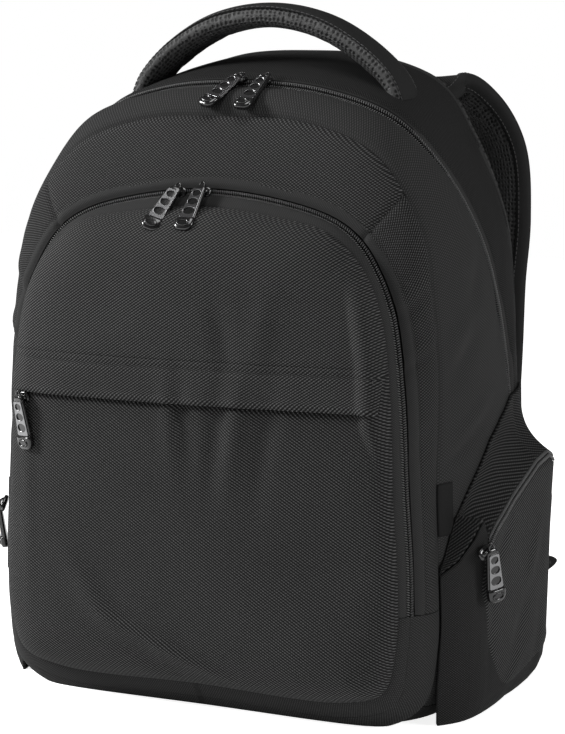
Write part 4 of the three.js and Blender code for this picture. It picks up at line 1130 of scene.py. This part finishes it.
def tube_uv(tube):
    around = arc_from(np.concatenate([tube, tube[:, :1]], 1), 1)[:, :-1]
    along = arc_from(tube.mean(1)[None], 1)[0]
    return np.stack([around, np.broadcast_to(along[:, None], around.shape)], -1)


def closed_ends(mesh):
    work = bmesh.new()
    work.from_mesh(mesh)
    bmesh.ops.holes_fill(work, edges=[edge for edge in work.edges if edge.is_boundary])
    bmesh.ops.recalc_face_normals(work, faces=work.faces)
    work.to_mesh(mesh)
    work.free()


def stuffed(name, mesh, pressure, most_swell, voxel):
    """The pad's cover swollen by its filling: a short cloth simulation whose travel is capped."""
    bare = bpy.data.objects.new(f"{name}_bare", mesh)
    scene.collection.objects.link(bare)
    even = bare.modifiers.new("even_mesh", "REMESH")
    even.mode = "VOXEL"
    even.voxel_size = voxel * mm
    cover_mesh = bpy.data.meshes.new_from_object(bare.evaluated_get(bpy.context.evaluated_depsgraph_get()))
    cover_mesh.name = name
    bpy.data.objects.remove(bare)
    cover = bpy.data.objects.new(f"{name}_cover", cover_mesh)
    scene.collection.objects.link(cover)
    filling = cover.modifiers.new("filling", "CLOTH")
    filling.settings.use_pressure = True
    filling.settings.uniform_pressure_force = pressure
    filling.settings.effector_weights.gravity = 0
    for step in range(1, 21):
        scene.frame_set(step)
    swollen = cover.evaluated_get(bpy.context.evaluated_depsgraph_get()).to_mesh()
    start = np.array([corner.co for corner in cover_mesh.vertices])
    travel = np.array([corner.co for corner in swollen.vertices]) - start
    length = np.linalg.norm(travel, axis=1, keepdims=True)
    travel *= np.minimum(1, most_swell * mm / np.maximum(length, 1e-9))
    cover_mesh.vertices.foreach_set("co", (start + travel).astype(np.float32).reshape(-1))
    bpy.data.objects.remove(cover)
    scene.frame_set(1)
    cover_mesh.shade_smooth()
    return cover_mesh


def wrap_cloth(mesh, path, out, aside):
    """Cloth places round a roll: across by the angle about its middle line, along by its length."""
    places = np.array([corner.co for corner in mesh.vertices]) / mm
    nearest = np.array([int(np.argmin(((path - place) ** 2).sum(1))) for place in places])
    offset = places - path[nearest]
    heading = unit(np.gradient(path, axis=0))[nearest]
    arc = np.concatenate([[0], np.cumsum(np.linalg.norm(np.diff(path, axis=0), axis=1))])
    along = arc[nearest] + (offset * heading).sum(1)
    across = (offset * aside[nearest]).sum(1)
    rise = (offset * out[nearest]).sum(1)
    layer = mesh.uv_layers.get("cloth") or mesh.uv_layers.new(name="cloth")
    corners = np.zeros(len(mesh.loops), int)
    mesh.loops.foreach_get("vertex_index", corners)
    flat = np.stack([across + np.where(rise > 0, 0, 200), along], -1)[corners]
    for face in mesh.polygons:
        picked = list(face.loop_indices)
        above = rise[corners[picked]].mean() > 0
        spots = corners[picked]
        flat[picked, 0] = across[spots] + (0 if above else 200) + np.abs(rise[spots]) * 0.4
    layer.data.foreach_set("uv", (flat * mm).astype(np.float32).reshape(-1))
    return across, rise


handle_wish = np.tile((0.0, 1.0, 0.0), (handle_steps, 1))
handle_tube = pad_tube(handle_line, handle_wish, handle_width - 2, handle_thickness + 1, 48, 0.7, 0.85)
handle_mesh_cloth = spacer_mesh("handle_mesh", 0.06, 2.6, 3.6)
handle_mesh = mesh_from("handle_pad", handle_tube, tube_uv(handle_tube))
closed_ends(handle_mesh)
handle_mesh = stuffed("handle_pad_stuffed", handle_mesh, 4, 1.6, 3)
heading, handle_out, handle_aside = band_frames(handle_line, handle_wish)
wrap_cloth(handle_mesh, handle_line, handle_out, handle_aside)
handle_piece = add_piece("handle_pad_foam", handle_mesh, handle_mesh_cloth, "spacer_mesh", "handle_pad")
handle_piece.modifiers.new("smooth_cover", "SUBSURF").levels = 1
strip_rows = np.linspace(-0.5, 0.5, 17)
if handle_out[handle_steps // 2, 2] < 0:
    handle_out = -handle_out
strip_rise = handle_thickness / 2 + 2.6 - 3.0 * np.abs(strip_rows * 2) ** 3
strip_grid = np.stack([
    handle_line + handle_aside * (share * strip_width) + handle_out * rise
    for share, rise in zip(strip_rows, strip_rise)
])
strip_cloth = plain_cloth("strip_cloth", 0.026, 1.3)
strip_mesh = mesh_from("handle_top_strip", strip_grid, strip_uv_open(strip_grid), closed=False)
strip_piece = add_piece("handle_strip_cloth", strip_mesh, strip_cloth, "smooth_cloth", "handle_top_strip")
thicken(strip_piece, 1.4)
for hand, row in (("front", 0), ("rear", -1)):
    edge_line = strip_grid[row] + handle_out * 0.2
    stitch_run(f"handle_stitches_{hand}", edge_line, handle_out, thread, "smooth_cloth", 3.4, 4.0)

# Side label: a bare woven strip, folded and caught in the front seam on the right. Plain stitches
# run round it in a rectangle.
label_stand = 1.9
label_thickness = 1.4
label_low, label_high = (np.array(corner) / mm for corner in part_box("side_label"))
label_cloth = plain_cloth("label_cloth", 0.02, 0.9)
label_y, label_z = np.meshgrid(
    np.linspace(label_low[1], label_high[1], 12), np.linspace(label_high[2], label_low[2], 24),
)
label_from = np.stack([np.full_like(label_y, 400), label_y, label_z], -1).reshape(-1, 3)
label_grid = seat_along(body_seat, label_from, (-1, 0, 0)).reshape(24, 12, 3)
label_grid[..., 0] += label_stand
label_mesh = mesh_from("side_label", label_grid, label_grid[..., [1, 2]], closed=False)
label_piece = add_piece("side_label_cloth", label_mesh, label_cloth, "label", "side_label")
thicken(label_piece, label_thickness)
label_border = np.concatenate([
    label_grid[2, 2:-2], label_grid[2:-2, -3], label_grid[-3, -3:1:-1], label_grid[-3:1:-1, 2],
])
label_out = np.tile((1.0, 0.0, 0.0), (len(label_border), 1))
stitch_run("label_stitches", label_border, label_out, thread, "label", 1.4, 2.0, 0.1)

# Side pockets: a narrow gusset, a broad twill face and, above the slanted zip, a wing of cloth that
# runs up to the body. They bulge from the side between the front seam and the back seam.
side_pocket_reach = 190
side_floor = 1
side_wall = 2.2
side_inset = 5
over_corner = 30
wing_hollow = 3.4
# Along the pocket: share of its depth, height of its upper seam, height of the wing, and fullness
side_stations = [
    (0, 104, 106, 0), (0.05, 114, 116, 0.4), (0.1, 129, 131, 0.72), (0.143, 140, 143, 0.88),
    (0.185, 125, 150, 0.94), (0.25, 132.6, 160, 0.97), (0.35, 140, 174, 0.99), (0.45, 148, 189, 1),
    (0.58, 156, 201, 1), (0.75, 166.5, 213, 1), (0.88, 170, 217, 1), (0.97, 165, 218, 0.93),
    (1, 156, 218, 0.1),
]
side_zip_first = 4
side_zip_gap = 2.4
side_zip_start = 0.16
pocket_rise = [
    (0, 0), (0.002, 0.36), (0.02, 0.56), (0.06, 0.76), (0.12, 0.9), (0.22, 0.98), (0.4, 1), (0.7, 1.03),
    (1, 1.12),
]
side_front = front_seam_rows[4][2] * bag_depth - front_reach - side_inset / 4
side_rear = back_seam_rows[4][2] * bag_depth - front_reach - side_inset
side_seat = seat_of(np.concatenate([
    ring(pocket_loop, front_loop, 30, front_swell), ring(front_loop, zip_loop, 30, front_gusset_swell)[1:],
    ring(zip_loop, back_loop, 30, rear_gusset_swell)[1:],
]))
pocket_flare = pocket_rise[-1][1]


def side_places(side, along, height, out):
    y = side_front + (side_rear - side_front) * along
    probe = np.minimum(y, side_rear - 3)
    origins = np.stack([np.full(y.shape, side * 900.0), probe, np.maximum(height, over_corner)], -1)
    bare = np.abs(seat_along(side_seat, origins.reshape(-1, 3), (-side, 0, 0))[:, 0]).reshape(y.shape)
    reach = bare + 0.35 + side_wall + (side_pocket_reach - bare - 0.35 - side_wall) * out
    return np.stack([side * reach, y, height], -1)


def side_columns(first, last, per_station):
    rows = np.array(side_stations)
    at = np.linspace(first, last, int((last - first) * per_station) + 1)
    return [np.interp(at, np.arange(len(rows)), rows[:, column]) for column in range(4)]


rise_up, rise_out = np.array(pocket_rise).T
rise_steps = np.concatenate([
    np.linspace(0, 0.002, 3), np.linspace(0.006, 0.12, 12), np.linspace(0.15, 1, 34),
])
# Dark and light colours of the side pocket twills: painted shade between the threads and painted highlight
# on their crowns.
side_face_twill = twill_cloth("side_face_twill", (0.009,) * 3, (0.1,) * 3, 5.2, 2.45, 0.08)
side_gusset_cloth = twill_cloth("side_gusset_cloth", (0.012,) * 3, (0.055,) * 3, 2.3, 1.7, 0.5, 0.2)
wing_twill = twill_cloth("wing_twill", (0.009,) * 3, (0.07,) * 3, 4.8, 2.3, 0.75)
# Creases of the pocket face and wing: middle back and up, lean in degrees, run, breadth and height
pocket_creases = [
    (20, 60, 35, 34, 8, -1.6), (40, 100, 25, 30, 8, 1.4), (-20, 120, 40, 26, 7, -1.3),
    (10, 25, 60, 26, 6, 1.2), (55, 45, 10, 26, 9, -1.4), (-35, 60, 5, 34, 6, -1.0),
]
# The face's sewn edge, from its upper front corner down and back: depth and height in mm
face_panel_edge = [
    (-43.5, 121), (-46.5, 106), (-48.4, 91), (-43.3, 76.6), (-37.9, 55), (-29, 36.5), (-18.5, 24),
    (-9.5, 17.5), (3, 15.5), (27, 18), (50, 22), (79.5, 27),
]
pouch_stations = np.array(side_stations)


def zip_gap(along):
    return side_zip_gap * np.clip((along - side_zip_start) / 0.03, 0, 1)


def pouch_top(along):
    return np.interp(along, pouch_stations[:, 0], pouch_stations[:, 1]) - zip_gap(along)


def pouch_places(side, along, height, stand=0.0):
    zip_height = pouch_top(along)
    out = np.interp(along, pouch_stations[:, 0], pouch_stations[:, 3])
    swell = np.interp((height - side_floor) / (zip_height - side_floor), rise_up, rise_out) * out
    grid = side_places(side, along, height, swell)
    relief = fold_heights(grid[..., 1], grid[..., 2], pocket_creases) * np.minimum(swell, 1)
    grid[..., 0] += side * (relief + stand)
    return grid


def cloth_over(name, grid, side, uv, paint, slot, thickness, *nodes):
    flipped = (grid, uv) if side < 0 else (grid[::-1], uv[::-1])
    mesh = mesh_from(name, *flipped, closed=False)
    piece = add_piece(f"{name}_cloth", mesh, paint, slot, *nodes)
    thicken(piece, thickness)
    return piece


for side, hand in ((-1, "left"), (1, "right")):
    along = side_columns(0, len(side_stations) - 1, 9)[0][None]
    heights = side_floor + rise_steps[:, None] * (pouch_top(along) - side_floor)
    pouch = pouch_places(side, np.broadcast_to(along, heights.shape), heights)
    pouch_uv = np.stack([arc_from(pouch, 1), pouch[..., 2]], -1)
    name = f"side_pocket_gusset_{hand}"
    cloth_over(name, pouch, side, pouch_uv, side_gusset_cloth, "twill", side_wall, name)
    sewn_edge = smooth_line([(0, *spot) for spot in face_panel_edge], 80)
    edge_along = (sewn_edge[:, 1] - side_front) / (side_rear - side_front)
    top_along = np.linspace(edge_along[0], edge_along[-1], 80)
    top_height = pouch_top(top_along)
    climb = np.sin(np.linspace(0, 1, 46) * math.pi / 2)[::-1][:, None]
    panel_along = top_along + (edge_along - top_along) * climb
    panel_height = top_height + (sewn_edge[:, 2] - top_height) * climb
    panel = pouch_places(side, panel_along, panel_height)
    inward = np.minimum(arc_from(panel, 0), 9)
    panel[..., 0] += side * (2.0 * (1 - np.exp(-inward / 1.5)) - 0.5)
    name = f"side_pocket_face_{hand}"
    cloth_over(name, panel, side, panel[..., [1, 2]], side_face_twill, "twill", 1.4, name)
    along, seam_height, wing_height, out = side_columns(0, len(side_stations) - 1, 8)
    low = seam_height + zip_gap(along)
    high = np.maximum(wing_height, low + 1)
    steps = np.linspace(0, 1, 30)
    heights = low[None] + steps[:, None] * (high - low)[None]
    grid = side_places(side, np.broadcast_to(along, heights.shape), heights,
                       out[None] * pocket_flare * (1 - steps[:, None]) ** wing_hollow)
    relief = fold_heights(grid[..., 1], grid[..., 2], pocket_creases)
    grid[..., 0] += side * relief * np.minimum(1 - steps[:, None], 0.6)
    cloth_uv = np.stack([arc_from(grid, 1), arc_from(grid, 0)], -1)
    name = f"side_wing_{hand}"
    cloth_over(name, grid, side, cloth_uv, wing_twill, "twill", side_wall, name)
    along, seam_height, wing_height, out = side_columns(side_zip_first, len(side_stations) - 1.4, 12)
    side_line = side_places(side, along, seam_height, out * pocket_flare)
    side_out = np.tile(unit(np.array([side, 0, 0.5])), (len(side_line), 1))
    zip_run(f"side_zip_{hand}", side_line + side_out * 0.6, side_out, f"side_zip_{hand}")

# Shoulder straps: foam pads faced with spacer mesh on the wearer's side and twill outside, bound all
# round, that curve out from the top of the back down to a ladder buckle.
strap_width = 66
strap_thickness = 13
strap_spread = 118
strap_reach = 56
strap_top = 431
strap_steps = 90
strap_rows = [
    (0.68, -0.06, 0.985), (0.72, 0.3, 1), (0.83, 0.68, 0.962), (0.94, 0.95, 0.885), (0.97, 0.98, 0.77),
    (0.96, 0.88, 0.66), (0.97, 0.76, 0.55), (0.98, 0.62, 0.45),
]
strap_mesh_cloth = spacer_mesh("strap_mesh", 0.032, 2.4, 3.2)
# Dark and light colours of the strap twill: painted shade between the threads and painted highlight on their
# crowns.
strap_twill = twill_cloth("strap_twill", (0.010,) * 3, (0.07,) * 3, 2.6, 2.0, 0.5)
binding_cloth = plain_cloth("binding_cloth", 0.024, 1.0)
back_face = back_seam_rows[6][2] * bag_depth - front_reach
for side, hand in ((-1, "left"), (1, "right")):
    strap_line = smooth_line(
        [(side * across * strap_spread, back_face + back * strap_reach, up * strap_top)
         for across, back, up in strap_rows], strap_steps,
    )
    strap_wish = np.tile((1.0, 0.0, 0.0), (strap_steps, 1))
    strap_tube = pad_tube(strap_line, strap_wish, strap_width - 2, strap_thickness - 2.4, 48, 0.55, 0.75)
    strap_mesh = mesh_from(f"strap_pad_{hand}", strap_tube, tube_uv(strap_tube))
    closed_ends(strap_mesh)
    strap_mesh = stuffed(f"strap_pad_{hand}_stuffed", strap_mesh, 4, 1.8, 4)
    heading, strap_out, strap_aside = band_frames(strap_line, strap_wish)
    across, rise = wrap_cloth(strap_mesh, strap_line, strap_out, strap_aside)
    wearer_side = 1 if strap_out[strap_steps // 2][1] < 0 else -1
    strap_mesh.materials.clear()
    strap_mesh.materials.append(strap_mesh_cloth)
    strap_mesh.materials.append(strap_twill)
    for face in strap_mesh.polygons:
        face.material_index = int(rise[list(face.vertices)].mean() * wearer_side < 0)
    strap_piece = add_piece(f"strap_pad_{hand}_foam", strap_mesh, None, "spacer_mesh", f"strap_pad_{hand}")
    strap_piece.modifiers.new("smooth_cover", "SUBSURF").levels = 1
    turns = np.linspace(-0.98, 0.98, 17)
    for edge in (-1, 1):
        u = edge * (strap_width / 2 + 0.3) * np.cos(turns) ** 0.55
        v = np.sign(turns) * np.abs(np.sin(turns)) ** 0.75 * (strap_thickness / 2 + 0.9)
        binding = np.stack([strap_line + strap_aside * a + strap_out * b for a, b in zip(u, v)])
        edge_name = f"strap_binding_{hand}_{'outer' if edge * side > 0 else 'inner'}"
        binding_mesh = mesh_from(edge_name, binding, strip_uv_open(binding), closed=False)
        binding_piece = add_piece(edge_name, binding_mesh, binding_cloth, "smooth_cloth")
        thicken(binding_piece, 0.8 if edge > 0 else -0.8)
        for row, turned in ((1, -1), (-2, 1)):
            stitch_run(f"{edge_name}_stitches_{row + 2}", binding[row], strap_out * turned, thread,
                       "smooth_cloth", 2.4, 3.4)

# Webbing, ladder buckles and anchor tabs: each strap's lower webbing runs from its buckle to a
# triangle of folded webbing sewn into the side seam, low at the back.
webbing_cloth = plain_cloth("webbing_cloth", 0.02, 1.6, 0.5, 0.3)
hard_plastic = bpy.data.materials.new("hard_plastic")
hard_plastic.use_nodes = True
hard_plastic_shader = hard_plastic.node_tree.nodes["Principled BSDF"]
hard_grain = hard_plastic.node_tree.nodes.new("ShaderNodeTexNoise")
hard_grain.inputs["Scale"].default_value = 900
hard_bump = hard_plastic.node_tree.nodes.new("ShaderNodeBump")
hard_bump.inputs["Distance"].default_value = 0.1 * mm
hard_plastic.node_tree.links.new(hard_grain.outputs["Fac"], hard_bump.inputs["Height"])
hard_plastic.node_tree.links.new(hard_bump.outputs[0], hard_plastic_shader.inputs["Normal"])
hard_plastic_shader.inputs["Base Color"].default_value = (0.012, 0.012, 0.013, 1)
hard_plastic_shader.inputs["Roughness"].default_value = 0.42

webbing_width = 25
webbing_thickness = 2
webbing_slack = 7
tab_thickness = 3
buckle_width = 36
buckle_height = 28
buckle_thickness = 5
buckle_round = 0.8
slot_half = 13.5
slot_height = 5.2
slot_lows = (-11.5, -3.2, 5.6)
tab_reach = 66
tab_splay = 17
tab_height = 46
tab_foot = 51
# The folded triangle: share of its height, and reach there as a share of its full reach
tab_outline = [(0, 0), (0.42, 0.93), (0.47, 0.985), (0.5, 1), (0.53, 0.985), (0.58, 0.93), (1, 0)]


def block(low_x, high_x, low_y, high_y, corner=2.0):
    path = []
    for x, y, first in ((high_x - corner, high_y - corner, 0), (low_x + corner, high_y - corner, 90),
                        (low_x + corner, low_y + corner, 180), (high_x - corner, low_y + corner, 270)):
        path += [(x + corner * math.cos(math.radians(first + step * 18)),
                  y + corner * math.sin(math.radians(first + step * 18))) for step in range(6)]
    return path


for side, hand in ((-1, "left"), (1, "right")):
    middle, (wide, tall, deep) = main_axes(node_places(f"strap_buckle_{hand}"))
    tall = tall * (1 if tall[2] > 0 else -1)
    wide = np.cross(tall, deep)
    outline = block(-buckle_width / 2, buckle_width / 2, -buckle_height / 2, buckle_height / 2, 3.5)
    slots = [block(-slot_half, slot_half, low, low + slot_height, 1.5) for low in slot_lows]
    points, faces = pierced_plate(
        f"strap_buckle_{hand}_drawing", outline, slots, buckle_thickness * 0.8, buckle_round,
    )
    buckle_mesh = placed_mesh(f"strap_buckle_{hand}", points, faces, middle, np.stack([wide, tall, deep]))
    buckle_mesh.shade_flat()
    add_piece(
        f"strap_buckle_{hand}_frame", buckle_mesh, hard_plastic, "hard_plastic", f"strap_buckle_{hand}",
    )
    corner_x = side * (back_seam_rows[3][0] * back_half_width - 4)
    corner_y = back_seam_rows[3][2] * bag_depth - front_reach - 3
    tab_tip = np.array([corner_x + side * tab_splay, corner_y + tab_reach, tab_foot + tab_height / 2])
    upper_start = middle + tall * buckle_height * 0.32
    lower_start = middle - tall * buckle_height * 0.1
    webbing_end = tab_tip - (side * (tab_splay * 0.3 + 2.6), tab_reach * 0.3, 0)
    halfway = (lower_start + webbing_end) / 2 + (0, webbing_slack, 0)
    webbing_line = smooth_line([upper_start, lower_start, halfway, webbing_end], 60)
    turn = np.linspace(0, 1, 60)[:, None]
    webbing_wish = unit(np.array([1.0, 0, 0]) * (1 - turn) + np.array([0, side, 0]) * turn)
    heading = unit(np.gradient(webbing_line, axis=0))
    webbing_out = unit(np.cross(webbing_wish, heading))
    webbing_aside = np.cross(heading, webbing_out)
    webbing_grid = np.stack([webbing_line + webbing_aside * (share * webbing_width)
                             for share in np.linspace(-0.5, 0.5, 9)])
    webbing_uv = strip_uv_open(webbing_grid)
    webbing_mesh = mesh_from(f"strap_webbing_{hand}", webbing_grid, webbing_uv, closed=False)
    webbing_piece = add_piece(f"strap_webbing_{hand}_band", webbing_mesh, webbing_cloth, "webbing",
                              f"strap_webbing_{hand}")
    thicken(webbing_piece, webbing_thickness)
    webbing_piece.modifiers["cloth_thickness"].offset = 0
    rows = np.linspace(0, 1, 40)
    reach = np.interp(rows, *np.transpose(tab_outline))
    share = np.linspace(0, 1, 30)[:, None]
    outward = share * reach * tab_reach
    lean = tab_splay / tab_reach
    tab_grid = np.stack([
        corner_x + side * lean * outward, corner_y + outward,
        np.broadcast_to(tab_foot + tab_height * rows, outward.shape),
    ], -1)
    tab_grid[..., 0] += 0.25 * np.sin(outward / 5)
    tab_mesh = mesh_from(f"anchor_tab_{hand}", tab_grid, tab_grid[..., [1, 2]], closed=False)
    tab_name = f"anchor_tab_{hand}"
    tab_piece = add_piece(f"{tab_name}_fold", tab_mesh, webbing_cloth, "webbing", tab_name)
    thicken(tab_piece, tab_thickness)
    tab_piece.modifiers["cloth_thickness"].offset = 0
    tab_out = np.tile((float(side), -lean, 0.0), (40, 1))
    inset = tab_grid[-5] + (side * 1.6, 0, 0)
    stitch_run(f"anchor_tab_{hand}_stitches", inset[3:-3], tab_out[3:-3], thread, "webbing", 2.6, 3.4)
